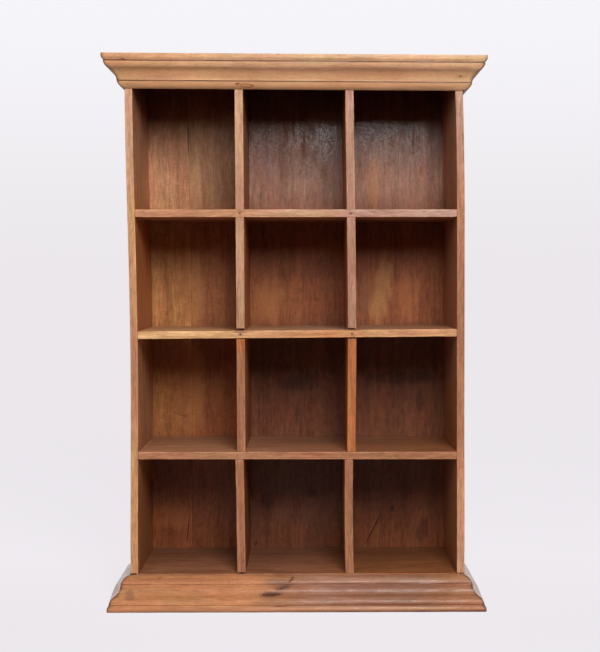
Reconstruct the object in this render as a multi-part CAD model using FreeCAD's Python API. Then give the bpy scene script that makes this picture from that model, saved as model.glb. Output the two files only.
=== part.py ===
import FreeCAD, Part
import os
from FreeCAD import Vector

# Pigeonhole mail sorter: an open-fronted hardwood carcase of three columns by four rows, with a nailed plank
# back, a cornice moulding round the top and the same moulding turned over as a plinth.
#
# Millimetres. +Z is up, the open front faces -Y, and +X is the right-hand side seen from the front. The origin
# is on the floor at the centre of the overall width and depth.

# ---- Driving dimensions ---------------------------------------------------------------------------------

# Carcase
CARCASE_WIDTH = 540.0
CARCASE_HEIGHT = 879.0
CARCASE_DEPTH = 190.0          # sides, shelves and dividers, without the back planks
SIDE_THICKNESS = 12.5
SHELF_THICKNESS = 12.5
TOP_BOARD_THICKNESS = 12.5
BASE_BOARD_THICKNESS = 12.5
DIVIDER_THICKNESS = 14.0
BACK_THICKNESS = 10.0

# Clear heights of the rows, counted from the bottom. The top row takes what is left of the carcase height.
BOTTOM_ROW_HEIGHT = 185.0
THIRD_ROW_HEIGHT = 183.7
SECOND_ROW_HEIGHT = 182.1
SHELF_MIDDLE_RISE = 3.0        # the middle shelf climbs this much from its left end to its right end

# Dividers. The middle column takes what the outer columns leave. The bottom dividers stand a little off the
# line of the tall ones: each shift is the distance to the right of that line.
OUTER_COLUMN_WIDTH = 161.0
BOTTOM_LEFT_TOP_SHIFT = -3.0   # the bottom left divider leans: its top is further out than its foot
BOTTOM_LEFT_FOOT_SHIFT = -0.5
BOTTOM_RIGHT_SHIFT = -4.0
LAP_DEPTH = 25.0               # strip of shelf left uncut in front of each slot, housed in the divider
LOOSE_NOTCH = 1.8              # gap left over the middle shelf by the notches in the dividers

# Back planks. The first is narrow, and the other two joints lie behind the tall dividers.
FIRST_PLANK_WIDTH = 82.0

# Moulding section, from its wide edge to its narrow edge: a flat fascia, a bevel down to a quirk, a convex
# round, a hollow, a second quirk and a quarter round. Heights add up to the height of the moulding, and
# steps add up to its projection.
FASCIA_HEIGHT = 6.3
BEVEL_HEIGHT = 4.2
BEVEL_STEP = 3.0
QUIRK_HEIGHT = 0.9
QUIRK_DEPTH = 0.9
ROUND_HEIGHT = 10.9
ROUND_STEP = 7.0
HOLLOW_HEIGHT = 17.8
HOLLOW_STEP = 9.7
NOSE_HEIGHT = 11.5
NOSE_STEP = 11.8
EDGE_STEP = 1.0                # thickness of the moulding at its narrow edge
CURVE_SAG = 0.14               # height of each arc over its chord, as a share of the chord
CORNICE_LIP = 3.5              # middle of the cornice stands this much above the top board
CORNICE_DROP = 6.0             # the cornice falls this much from its left end to its right end
PLINTH_STEP = 2.0              # the floor of the bottom row stands this much above the plinth

# Fixings
NAIL_HEAD_DIAMETER = 4.0
NAIL_HEAD_THICKNESS = 0.8
NAIL_SHANK_DIAMETER = 1.8
NAIL_LENGTH = 32.0
CROSSING_NAIL_LENGTH = 42.0
PIN_DIAMETER = 1.4
FRONT_PIN_LENGTH = 22.0
SIDE_PIN_LENGTH = 15.0         # shorter, so that it stops inside the side panel
PIN_SINK = 1.2                 # pins are punched this far under the face of the moulding
PINS_PER_RETURN = 2            # pins in each side moulding
PIN_SETBACK = 60.0             # first and last pin of a side moulding to the front and rear of the carcase
NAILS_PER_END = 3              # nails through a side into each end of a level board
END_NAIL_SETBACK = 30.0        # first nail of a row to the front or rear edge of the board
BACK_NAIL_MARGIN = 15.0        # back nails to the joint or board beside them
TALL_NAIL_PLACES = (35.0, 120.0)     # nails in the tall dividers' feet, from the front edge
BOTTOM_NAIL_PLACES = (70.0, 155.0)   # nails in the bottom dividers' heads, from the front edge

# ---- Derived sizes and places ---------------------------------------------------------------------------

MOULDING_HEIGHT = (FASCIA_HEIGHT + BEVEL_HEIGHT + QUIRK_HEIGHT + ROUND_HEIGHT + HOLLOW_HEIGHT
                   + QUIRK_HEIGHT + NOSE_HEIGHT)
MOULDING_PROJECTION = BEVEL_STEP + ROUND_STEP + HOLLOW_STEP + NOSE_STEP + EDGE_STEP

HALF_WIDTH = CARCASE_WIDTH / 2
INNER_HALF = HALF_WIDTH - SIDE_THICKNESS
OVERALL_DEPTH = MOULDING_PROJECTION + CARCASE_DEPTH + BACK_THICKNESS
FRONT_Y = MOULDING_PROJECTION - OVERALL_DEPTH / 2
REAR_Y = FRONT_Y + CARCASE_DEPTH
BACK_Y = REAR_Y + BACK_THICKNESS

FLOOR_Z = MOULDING_HEIGHT + PLINTH_STEP
BASE_Z = FLOOR_Z - BASE_BOARD_THICKNESS
SHELF_LOWER_Z = FLOOR_Z + BOTTOM_ROW_HEIGHT
SHELF_MIDDLE_Z = SHELF_LOWER_Z + SHELF_THICKNESS + THIRD_ROW_HEIGHT
SHELF_UPPER_Z = SHELF_MIDDLE_Z + SHELF_THICKNESS + SECOND_ROW_HEIGHT
TOP_Z = CARCASE_HEIGHT - TOP_BOARD_THICKNESS

TALL_DIVIDER_OFFSET = INNER_HALF - OUTER_COLUMN_WIDTH - DIVIDER_THICKNESS / 2
TALL_DIVIDER_XS = (-TALL_DIVIDER_OFFSET, TALL_DIVIDER_OFFSET)
BOTTOM_LEFT_TOP_X = BOTTOM_LEFT_TOP_SHIFT - TALL_DIVIDER_OFFSET
BOTTOM_LEFT_FOOT_X = BOTTOM_LEFT_FOOT_SHIFT - TALL_DIVIDER_OFFSET
BOTTOM_RIGHT_X = BOTTOM_RIGHT_SHIFT + TALL_DIVIDER_OFFSET
CORNICE_SLOPE = CORNICE_DROP / (CARCASE_WIDTH + 2 * MOULDING_PROJECTION)
CORNICE_TOP_Z = CARCASE_HEIGHT + CORNICE_LIP

RIGHT = Vector(1, 0, 0)
BACKWARD = Vector(0, 1, 0)
UP = Vector(0, 0, 1)


# ---- Boards ---------------------------------------------------------------------------------------------

def prism(points, travel):
    """Solid swept along a vector from a flat outline of points."""
    outline = Part.makePolygon(points + points[:1])
    return Part.Face(outline).extrude(travel)


def board(x0, x1, y0, y1, z0, z1):
    """Square-cut board between two opposite corners."""
    return Part.makeBox(x1 - x0, y1 - y0, z1 - z0, Vector(x0, y0, z0))


def sloped_shelf(z, thickness, rise, y0, y1):
    """Board between the sides whose underside passes z at the centre of the unit and climbs to the right."""
    low = z - rise / 2
    high = z + rise / 2
    points = [
        Vector(-INNER_HALF, y0, low),
        Vector(INNER_HALF, y0, high),
        Vector(INNER_HALF, y0, high + thickness),
        Vector(-INNER_HALF, y0, low + thickness),
    ]
    return prism(points, BACKWARD * (y1 - y0))


def slotted_shelf(z, rise):
    """Shelf with a slot from its rear edge for each tall divider."""
    shelf = sloped_shelf(z, SHELF_THICKNESS, rise, FRONT_Y, REAR_Y)
    reach = SHELF_THICKNESS + abs(rise)
    for x in TALL_DIVIDER_XS:
        slot = board(x - DIVIDER_THICKNESS / 2, x + DIVIDER_THICKNESS / 2, FRONT_Y + LAP_DEPTH, REAR_Y,
                     z - reach, z + 2 * reach)
        shelf = shelf.cut(slot)
    return shelf


def tall_divider(x):
    """Divider of the upper three rows, notched from its front edge over the uncut strips of two shelves."""
    divider = board(x - DIVIDER_THICKNESS / 2, x + DIVIDER_THICKNESS / 2, FRONT_Y, REAR_Y,
                    SHELF_LOWER_Z + SHELF_THICKNESS, TOP_Z)
    lap_y = FRONT_Y + LAP_DEPTH
    notch_upper = sloped_shelf(SHELF_UPPER_Z, SHELF_THICKNESS, 0, FRONT_Y, lap_y)
    notch_middle = sloped_shelf(SHELF_MIDDLE_Z, SHELF_THICKNESS + LOOSE_NOTCH, SHELF_MIDDLE_RISE, FRONT_Y, lap_y)
    return divider.cut([notch_upper, notch_middle])


def bottom_divider(foot_x, top_x):
    """Short divider of the bottom row, cut to fit between base board and lower shelf where it stands."""
    half = DIVIDER_THICKNESS / 2
    points = [
        Vector(foot_x - half, FRONT_Y, FLOOR_Z),
        Vector(foot_x + half, FRONT_Y, FLOOR_Z),
        Vector(top_x + half, FRONT_Y, SHELF_LOWER_Z),
        Vector(top_x - half, FRONT_Y, SHELF_LOWER_Z),
    ]
    return prism(points, BACKWARD * CARCASE_DEPTH)


def plank_edges():
    """X of every plank edge, from the left side of the carcase to the right side."""
    return (-HALF_WIDTH, FIRST_PLANK_WIDTH - HALF_WIDTH, *TALL_DIVIDER_XS, HALF_WIDTH)


def carcase_boards():
    """Every board of the carcase by node name, before it is drilled for nails."""
    boards = {
        "side_panel_left": board(-HALF_WIDTH, -INNER_HALF, FRONT_Y, REAR_Y, 0, CARCASE_HEIGHT),
        "side_panel_right": board(INNER_HALF, HALF_WIDTH, FRONT_Y, REAR_Y, 0, CARCASE_HEIGHT),
        "base_board": board(-INNER_HALF, INNER_HALF, FRONT_Y, REAR_Y, BASE_Z, FLOOR_Z),
        "top_board": board(-INNER_HALF, INNER_HALF, FRONT_Y, REAR_Y, TOP_Z, CARCASE_HEIGHT),
        "shelf_lower": sloped_shelf(SHELF_LOWER_Z, SHELF_THICKNESS, 0, FRONT_Y, REAR_Y),
        "shelf_middle": slotted_shelf(SHELF_MIDDLE_Z, SHELF_MIDDLE_RISE),
        "shelf_upper": slotted_shelf(SHELF_UPPER_Z, 0),
        "divider_tall_left": tall_divider(-TALL_DIVIDER_OFFSET),
        "divider_tall_right": tall_divider(TALL_DIVIDER_OFFSET),
        "divider_bottom_left": bottom_divider(BOTTOM_LEFT_FOOT_X, BOTTOM_LEFT_TOP_X),
        "divider_bottom_right": bottom_divider(BOTTOM_RIGHT_X, BOTTOM_RIGHT_X),
    }
    edges = plank_edges()
    for number, (x0, x1) in enumerate(zip(edges, edges[1:]), start=1):
        boards[f"back_plank_{number}"] = board(x0, x1, REAR_Y, BACK_Y, 0, CARCASE_HEIGHT)
    return boards


# ---- Moulding -------------------------------------------------------------------------------------------

def arc_between(start, end, bulge):
    """Arc from start to end in the section plane. A positive bulge swells away from the carcase."""
    chord_out = end[0] - start[0]
    chord_down = end[1] - start[1]
    middle = ((start[0] + end[0]) / 2 + chord_down * bulge, (start[1] + end[1]) / 2 - chord_out * bulge)
    return start, middle, end


def moulding_section():
    """Moulding section as (out, down) pieces: two points make a line, three make an arc."""
    fascia_foot = (MOULDING_PROJECTION, FASCIA_HEIGHT)
    bevel_foot = (fascia_foot[0] - BEVEL_STEP, fascia_foot[1] + BEVEL_HEIGHT)
    quirk_in = (bevel_foot[0] - QUIRK_DEPTH, bevel_foot[1])
    quirk_foot = (quirk_in[0], quirk_in[1] + QUIRK_HEIGHT)
    round_top = (bevel_foot[0], quirk_foot[1])
    round_foot = (round_top[0] - ROUND_STEP, round_top[1] + ROUND_HEIGHT)
    hollow_foot = (round_foot[0] - HOLLOW_STEP, round_foot[1] + HOLLOW_HEIGHT)
    second_in = (hollow_foot[0] - QUIRK_DEPTH, hollow_foot[1])
    second_foot = (second_in[0], second_in[1] + QUIRK_HEIGHT)
    nose_top = (hollow_foot[0], second_foot[1])
    nose_foot = (EDGE_STEP, MOULDING_HEIGHT)
    return [
        ((0, 0), (MOULDING_PROJECTION, 0)),
        ((MOULDING_PROJECTION, 0), fascia_foot),
        (fascia_foot, bevel_foot),
        (bevel_foot, quirk_in),
        (quirk_in, quirk_foot),
        (quirk_foot, round_top),
        arc_between(round_top, round_foot, CURVE_SAG),
        arc_between(round_foot, hollow_foot, -CURVE_SAG),
        (hollow_foot, second_in),
        (second_in, second_foot),
        (second_foot, nose_top),
        arc_between(nose_top, nose_foot, CURVE_SAG),
        (nose_foot, (0, MOULDING_HEIGHT)),
        ((0, MOULDING_HEIGHT), (0, 0)),
    ]


def moulding_length(start, outward, downward, travel):
    """Straight length of moulding. start is the corner of its wide edge and its back, at one end."""
    edges = []
    for piece in moulding_section():
        points = [start + outward * out + downward * down for out, down in piece]
        if len(points) == 2:
            edges.append(Part.makeLine(points[0], points[1]))
        else:
            edges.append(Part.Arc(*points).toShape())
    return Part.Face(Part.Wire(edges)).extrude(travel)


def mitre_block(side, z0, z1):
    """Room of one side moulding, bounded in front by its mitre. side is -1 for left and 1 for right."""
    out_x = side * (HALF_WIDTH + 2 * MOULDING_PROJECTION)
    points = [
        Vector(side * HALF_WIDTH, FRONT_Y, z0),
        Vector(out_x, FRONT_Y - 2 * MOULDING_PROJECTION, z0),
        Vector(out_x, BACK_Y, z0),
        Vector(side * HALF_WIDTH, BACK_Y, z0),
    ]
    return prism(points, UP * (z1 - z0))


def moulding_ring(prefix, wide_z, direction, slope):
    """Front, left and right mouldings. direction is -1 with the wide edge on top and 1 with it on the floor."""
    downward = UP * direction
    full_half = HALF_WIDTH + MOULDING_PROJECTION
    front_start = Vector(-full_half, FRONT_Y, wide_z + slope * full_half)
    front_travel = Vector(2 * full_half, 0, -slope * 2 * full_half)
    front = moulding_length(front_start, BACKWARD * -1, downward, front_travel)
    low = wide_z - 2 * MOULDING_HEIGHT
    high = wide_z + 2 * MOULDING_HEIGHT
    side_travel = BACKWARD * (BACK_Y - FRONT_Y + MOULDING_PROJECTION)
    ring = {}
    for name, side in (("left", -1), ("right", 1)):
        block = mitre_block(side, low, high)
        side_z = wide_z - side * slope * (HALF_WIDTH + MOULDING_PROJECTION / 2)
        start = Vector(side * HALF_WIDTH, FRONT_Y - MOULDING_PROJECTION, side_z)
        piece = moulding_length(start, RIGHT * side, downward, side_travel)
        ring[f"{prefix}_{name}"] = piece.common(block)
        front = front.cut(block)
    ring[f"{prefix}_front"] = front
    return ring


def moulding_depth_at(down):
    """Thickness of the quarter round at a distance from the wide edge, taken on its chord."""
    share = (MOULDING_HEIGHT - down) / NOSE_HEIGHT
    return EDGE_STEP + share * NOSE_STEP


# ---- Nails and pins -------------------------------------------------------------------------------------

def nail(head, direction, length=NAIL_LENGTH):
    """Round-head nail driven flush. head is the centre of its outer face."""
    cap = Part.makeCylinder(NAIL_HEAD_DIAMETER / 2, NAIL_HEAD_THICKNESS, head, direction)
    shank = Part.makeCylinder(NAIL_SHANK_DIAMETER / 2, length, head, direction)
    return cap.fuse(shank)


def pin(head, direction, length):
    """Headless pin. head is the centre of its outer end."""
    return Part.makeCylinder(PIN_DIAMETER / 2, length, head, direction)


def spread(first, last, count):
    """Evenly spaced places from first to last."""
    step = (last - first) / (count - 1)
    return [first + step * index for index in range(count)]


def middle_shelf_centre(x):
    """Height of the middle shelf's centre line at x."""
    return SHELF_MIDDLE_Z + SHELF_THICKNESS / 2 + SHELF_MIDDLE_RISE * x / (2 * INNER_HALF)


def level_centres(x):
    """Heights at x of the centre lines of base board, shelves and top board."""
    return [
        BASE_Z + BASE_BOARD_THICKNESS / 2,
        SHELF_LOWER_Z + SHELF_THICKNESS / 2,
        middle_shelf_centre(x),
        SHELF_UPPER_Z + SHELF_THICKNESS / 2,
        TOP_Z + TOP_BOARD_THICKNESS / 2,
    ]


def crossing_nails():
    """One nail through the front of the upper and middle shelves into each tall divider."""
    nails = []
    for x in TALL_DIVIDER_XS:
        for z in (middle_shelf_centre(x), SHELF_UPPER_Z + SHELF_THICKNESS / 2):
            nails.append(nail(Vector(x, FRONT_Y, z), BACKWARD, CROSSING_NAIL_LENGTH))
    return nails


def shelf_end_nails():
    """Three nails through each side into the end of every level board."""
    nails = []
    for side in (-1, 1):
        for z in level_centres(side * (HALF_WIDTH - NAIL_LENGTH / 2)):
            for y in spread(FRONT_Y + END_NAIL_SETBACK, REAR_Y - END_NAIL_SETBACK, NAILS_PER_END):
                nails.append(nail(Vector(side * HALF_WIDTH, y, z), RIGHT * -side))
    return nails


def divider_nails():
    """Nails into the ends of the dividers, staggered from front to back where two dividers meet one shelf."""
    nails = []
    for x in TALL_DIVIDER_XS:
        for place in TALL_NAIL_PLACES:
            nails.append(nail(Vector(x, FRONT_Y + place, SHELF_LOWER_Z), UP))
            nails.append(nail(Vector(x, FRONT_Y + place, CARCASE_HEIGHT), UP * -1))
    for foot_x, top_x in ((BOTTOM_LEFT_FOOT_X, BOTTOM_LEFT_TOP_X), (BOTTOM_RIGHT_X, BOTTOM_RIGHT_X)):
        for place in BOTTOM_NAIL_PLACES:
            nails.append(nail(Vector(foot_x, FRONT_Y + place, BASE_Z), UP))
            nails.append(nail(Vector(top_x, FRONT_Y + place, SHELF_LOWER_Z + SHELF_THICKNESS), UP * -1))
    return nails


def back_nails():
    """Two nails in each plank at every level board, and one between levels where a plank covers a side."""
    nails = []
    edges = plank_edges()
    for x0, x1 in zip(edges, edges[1:]):
        left = max(x0, -INNER_HALF) + BACK_NAIL_MARGIN
        right = min(x1, INNER_HALF) - BACK_NAIL_MARGIN
        for x in (left, right):
            for z in level_centres(x):
                nails.append(nail(Vector(x, BACK_Y, z), BACKWARD * -1))
    for side in (-1, 1):
        x = side * (HALF_WIDTH - SIDE_THICKNESS / 2)
        levels = level_centres(x)
        for z0, z1 in zip(levels, levels[1:]):
            nails.append(nail(Vector(x, BACK_Y, (z0 + z1) / 2), BACKWARD * -1))
    return nails


def moulding_pins():
    """Pins through the quarter round of cornice and plinth into the front edges and the sides."""
    pins = []
    down = MOULDING_HEIGHT - NOSE_HEIGHT / 2
    skin = moulding_depth_at(down) - PIN_SINK
    side_edge_x = HALF_WIDTH - SIDE_THICKNESS / 2
    for wide_z, direction, slope in ((CORNICE_TOP_Z, -1, CORNICE_SLOPE), (0, 1, 0)):
        for x in (-side_edge_x, *TALL_DIVIDER_XS, side_edge_x):
            z = wide_z + direction * down - slope * x
            pins.append(pin(Vector(x, FRONT_Y - skin, z), BACKWARD, FRONT_PIN_LENGTH))
        for side in (-1, 1):
            x = side * (HALF_WIDTH + skin)
            z = wide_z + direction * down - slope * side * (HALF_WIDTH + MOULDING_PROJECTION / 2)
            for y in spread(FRONT_Y + PIN_SETBACK, BACK_Y - PIN_SETBACK, PINS_PER_RETURN):
                pins.append(pin(Vector(x, y, z), RIGHT * -side, SIDE_PIN_LENGTH))
    return pins


# ---- Assembly -------------------------------------------------------------------------------------------

def drilled(shape, fixings):
    """Shape with room cut for every nail or pin that reaches into it."""
    near = [item for item in fixings if shape.BoundBox.intersect(item.BoundBox)]
    if not near:
        return shape
    return shape.cut(near)


def main():
    wood = carcase_boards()
    wood.update(moulding_ring("cornice", CORNICE_TOP_Z, -1, CORNICE_SLOPE))
    wood.update(moulding_ring("plinth", 0, 1, 0))
    fixings = {
        "crossing_nails": crossing_nails(),
        "shelf_end_nails": shelf_end_nails(),
        "divider_nails": divider_nails(),
        "back_nails": back_nails(),
        "moulding_pins": moulding_pins(),
    }
    every_fixing = [item for group in fixings.values() for item in group]
    os.makedirs("parts", exist_ok=True)
    for node, shape in wood.items():
        drilled(shape, every_fixing).exportStep(f"parts/{node}.step")
    for node, group in fixings.items():
        Part.makeCompound(group).exportStep(f"parts/{node}.step")


main()
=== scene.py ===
"""Looks of an old pigeonhole mail sorter: waxed hardwood boards, mouldings and nails in a plain studio."""

import logging
import math
import random
from collections.abc import Sequence
from dataclasses import dataclass, field
from enum import Enum
from typing import NamedTuple

import bmesh
import bpy
import numpy as np
from mathutils import Matrix, Vector, noise


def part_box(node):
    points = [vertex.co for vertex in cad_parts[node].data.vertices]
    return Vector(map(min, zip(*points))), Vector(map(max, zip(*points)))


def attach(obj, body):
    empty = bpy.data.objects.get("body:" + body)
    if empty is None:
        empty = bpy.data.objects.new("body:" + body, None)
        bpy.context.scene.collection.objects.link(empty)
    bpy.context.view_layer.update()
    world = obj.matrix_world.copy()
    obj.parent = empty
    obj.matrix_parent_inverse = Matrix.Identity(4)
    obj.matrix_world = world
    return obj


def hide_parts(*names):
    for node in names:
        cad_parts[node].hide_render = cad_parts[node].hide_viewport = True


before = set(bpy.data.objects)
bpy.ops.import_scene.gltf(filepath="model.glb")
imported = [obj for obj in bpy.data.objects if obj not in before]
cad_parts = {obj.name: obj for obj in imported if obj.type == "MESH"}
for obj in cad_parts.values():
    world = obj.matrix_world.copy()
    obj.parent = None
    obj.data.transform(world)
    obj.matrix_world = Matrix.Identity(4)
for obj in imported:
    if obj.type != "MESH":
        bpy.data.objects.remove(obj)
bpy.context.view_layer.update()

MM = 0.001
BODY = "root"
LOG = logging.getLogger("mail_sorter")


# ---- Shader graph -----------------------------------------------------------------------------------------


class Flow:
    """One socket of a shader graph. Arithmetic on it adds Math nodes."""

    def __init__(self, graph: "Graph", socket: bpy.types.NodeSocket) -> None:
        """Wraps the output socket that carries a value, and keeps the graph that new nodes join."""
        self.graph = graph
        self.socket = socket

    def __add__(self, other: "Flow | float") -> "Flow":
        """Sum of the two values."""
        return self.graph.maths("ADD", self, other)

    def __radd__(self, other: float) -> "Flow":
        """Sum with a number on the left."""
        return self.graph.maths("ADD", other, self)

    def __sub__(self, other: "Flow | float") -> "Flow":
        """Difference of the two values."""
        return self.graph.maths("SUBTRACT", self, other)

    def __rsub__(self, other: float) -> "Flow":
        """Difference with a number on the left."""
        return self.graph.maths("SUBTRACT", other, self)

    def __mul__(self, other: "Flow | float") -> "Flow":
        """Product of the two values."""
        return self.graph.maths("MULTIPLY", self, other)

    def __rmul__(self, other: float) -> "Flow":
        """Product with a number on the left."""
        return self.graph.maths("MULTIPLY", other, self)

    def __truediv__(self, other: "Flow | float") -> "Flow":
        """Quotient of the two values."""
        return self.graph.maths("DIVIDE", self, other)

    def __abs__(self) -> "Flow":
        """Value without its sign."""
        return self.graph.maths("ABSOLUTE", self)

    def fade(self, low: float, high: float) -> "Flow":
        """Smooth step from 0 at low to 1 at high. With low above high it falls instead.

        Args:
            low: Value that gives 0.
            high: Value that gives 1.

        Returns:
            The stepped value.
        """
        if low > high:
            return 1 - self.fade(high, low)
        inputs = {"Value": self, "From Min": low, "From Max": high}
        return self.graph.node("ShaderNodeMapRange", {"interpolation_type": "SMOOTHSTEP"}, inputs)


class Graph:
    """A shader node tree that is filled by expressions."""

    def __init__(self, tree: bpy.types.NodeTree) -> None:
        """Empties the node tree of a material or of the world."""
        self.tree = tree
        tree.nodes.clear()

    def node(
        self,
        kind: str,
        settings: dict[str, object] | None = None,
        inputs: dict[str | int, object] | None = None,
        output: str | int = 0,
    ) -> Flow:
        """Adds any node.

        Args:
            kind: Node type.
            settings: Properties that are set first. "stops" fills a colour ramp.
            inputs: Values or flows by socket name or number.
            output: Name or number of the output that is returned.

        Returns:
            The chosen output.
        """
        made = self.tree.nodes.new(kind)
        for name, value in (settings or {}).items():
            if name == "stops":
                self._fill_ramp(made.color_ramp, value)
            else:
                setattr(made, name, value)
        for name, value in (inputs or {}).items():
            if isinstance(value, Flow):
                self.tree.links.new(value.socket, made.inputs[name])
            else:
                made.inputs[name].default_value = value
        if not made.outputs:
            return Flow(self, made.inputs[0])
        return Flow(self, made.outputs[output])

    @staticmethod
    def _fill_ramp(ramp: bpy.types.ColorRamp, stops: Sequence[tuple[float, Sequence[float]]]) -> None:
        """Replaces the stops of a ramp.

        Args:
            ramp: Ramp with its two first stops.
            stops: Position and colour of each stop, in order.
        """
        while len(ramp.elements) > 1:
            ramp.elements.remove(ramp.elements[-1])
        ramp.elements[0].position = stops[0][0]
        ramp.elements[0].color = stops[0][1]
        for position, colour in stops[1:]:
            ramp.elements.new(position).color = colour

    def maths(self, operation: str, first: "Flow | float", second: "Flow | float" = 0.0) -> Flow:
        """Result of one Math node on two values."""
        return self.node("ShaderNodeMath", {"operation": operation}, {0: first, 1: second})

    def vector(self, operation: str, first: Flow, second: "Flow | Sequence[float]") -> Flow:
        """Result of one Vector Math node on two vectors or colours."""
        return self.node("ShaderNodeVectorMath", {"operation": operation}, {0: first, 1: second})

    def scale(self, vector: Flow, factor: "Flow | float") -> Flow:
        """Vector or colour times a number."""
        return self.node("ShaderNodeVectorMath", {"operation": "SCALE"}, {"Vector": vector, "Scale": factor})

    def mix(self, factor: "Flow | float", first: object, second: object) -> Flow:
        """Blend of two colours, where a factor of 0 gives the first and 1 the second."""
        return self.node("ShaderNodeMix", {"data_type": "RGBA"}, {0: factor, 6: first, 7: second}, output=2)

    def cloud(self, place: Flow, size: float, detail: float = 2.0, output: str | int = 0) -> Flow:
        """Soft noise from 0 to 1 in patches of a size in millimetres, or three with the output Color."""
        inputs = {"Vector": place, "Scale": 1 / size, "Detail": detail}
        return self.node("ShaderNodeTexNoise", {}, inputs, output)

    def part(self, vector: Flow, name: str | int) -> Flow:
        """One part of a vector, by its letter or number."""
        return self.node("ShaderNodeSeparateXYZ", {}, {"Vector": vector}, name)

    def millimetres(self) -> Flow:
        """Place in the unit, in millimetres."""
        return self.scale(self.node("ShaderNodeTexCoord", output="Object"), 1 / MM)

    def bump(self, strength: float, distance: float, height: Flow) -> Flow:
        """Normal tilted by a height, of which one unit is a distance in metres."""
        inputs = {"Strength": strength, "Distance": distance, "Height": height}
        return self.node("ShaderNodeBump", {}, inputs)

    def sight(self, mirrored: Flow) -> Flow:
        """What the camera sees directly, or by way of metal, wax or glass.

        Args:
            mirrored: Share of what is seen by way of those.

        Returns:
            1 for a camera ray, the share for a reflected or transmitted one, and 0 for light itself.
        """
        camera, glossy, through = (
            self.node("ShaderNodeLightPath", output=f"Is {kind} Ray")
            for kind in ("Camera", "Glossy", "Transmission")
        )
        return camera + (glossy + through) * mirrored

    def finish(self, inputs: dict[str | int, object]) -> None:
        """Ends a material in one Principled surface with these inputs."""
        surface = self.node("ShaderNodeBsdfPrincipled", {}, inputs)
        self.node("ShaderNodeOutputMaterial", {}, {"Surface": surface})


def new_material(name: str) -> bpy.types.Material:
    """Makes a material with a node tree.

    Args:
        name: Name of the material.

    Returns:
        The material.
    """
    material = bpy.data.materials.new(name)
    material.use_nodes = True
    return material


def linear(swatch: Sequence[int]) -> tuple[float, float, float, float]:
    """Linear colour of a swatch.

    Args:
        swatch: Red, green and blue from 0 to 255.

    Returns:
        Red, green, blue and an alpha of 1.
    """
    parts = [value / 255 for value in swatch]
    bright = [part / 12.92 if part <= 0.04045 else ((part + 0.055) / 1.055) ** 2.4 for part in parts]
    return bright[0], bright[1], bright[2], 1.0


# ---- Finishes ---------------------------------------------------------------------------------------------


class Axis(Enum):
    """Direction of the grain of a board, with the two axes of its section."""

    X = (0, 1, 2)
    Y = (1, 2, 0)
    Z = (2, 0, 1)

    def stretch(self, along: float) -> tuple[float, float, float]:
        """Scale vector that keeps the section and multiplies the grain direction by along."""
        return tuple(along if axis == self.value[0] else 1.0 for axis in range(3))


class Tone(Enum):
    """Named wood tones, as swatches."""

    STRAW = (232, 178, 126)
    HONEY = (212, 158, 112)
    PALE_HONEY = (208, 162, 122)
    WHEAT = (202, 147, 103)
    AMBER = (221, 165, 115)
    GINGER = (202, 138, 91)
    FAWN = (196, 148, 116)
    BLUSH = (188, 145, 126)
    ROSE = (180, 134, 112)
    HAZEL = (172, 125, 101)
    HEATHER = (156, 109, 86)
    CLAY = (190, 133, 98)
    SIENNA = (168, 112, 80)
    DRIFT = (163, 116, 78)
    OCHRE = (180, 125, 74)
    COPPER = (184, 111, 64)
    OLIVE = (176, 115, 66)
    TAN = (160, 100, 60)
    MAUVE = (130, 88, 72)
    CHESTNUT = (142, 80, 45)
    RUSSET = (127, 70, 41)
    COCOA = (112, 64, 42)
    UMBER = (88, 50, 34)
    SOOT = (48, 28, 22)

    @property
    def colour(self) -> tuple[float, float, float, float]:
        """Linear colour of the tone."""
        return linear(self.value)


@dataclass(frozen=True)
class Mark:
    """A knot, streak, crack, stain or stripe in a face, or a painted shadow, shade or highlight: an oval with
    a ragged edge.

    Attributes:
        x: Place across the unit in millimetres.
        z: Height in millimetres.
        length: Half length in millimetres.
        width: Half width in millimetres.
        turn: Angle of its length from level, in degrees.
        strength: Share of the wood colour that it hides.
        tone: Its tone.
        ragged: How much noise bends its edge.
        core: Where it reaches its full strength: 0 for a soft cloud, near 1 for a hard edge.
    """

    x: float
    z: float
    length: float
    width: float
    turn: float = 0.0
    strength: float = 0.7
    tone: Tone = Tone.SOOT
    ragged: float = 0.8
    core: float = 0.35


Tones = tuple[tuple[float, Tone], ...]


@dataclass(frozen=True)
class Wax:
    """The coat of wax on a board.

    Attributes:
        polish: Its greatest weight.
        gloss: Its roughness.
        scuffed: How patchy it is, from 0 to 1.
    """

    polish: float = 0.3
    gloss: float = 0.2
    scuffed: float = 0.8


@dataclass(frozen=True)
class Layer:
    """One noise in the look of the wood.

    Attributes:
        stretch: Scale along the grain: the smaller, the longer its patches.
        size: Width of its patches in millimetres.
        detail: Number of finer layers.
        fade: Values between which it steps from 0 to 1, or None to leave it soft.
    """

    stretch: float
    size: float
    detail: float = 2.0
    fade: tuple[float, float] | None = None


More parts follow.
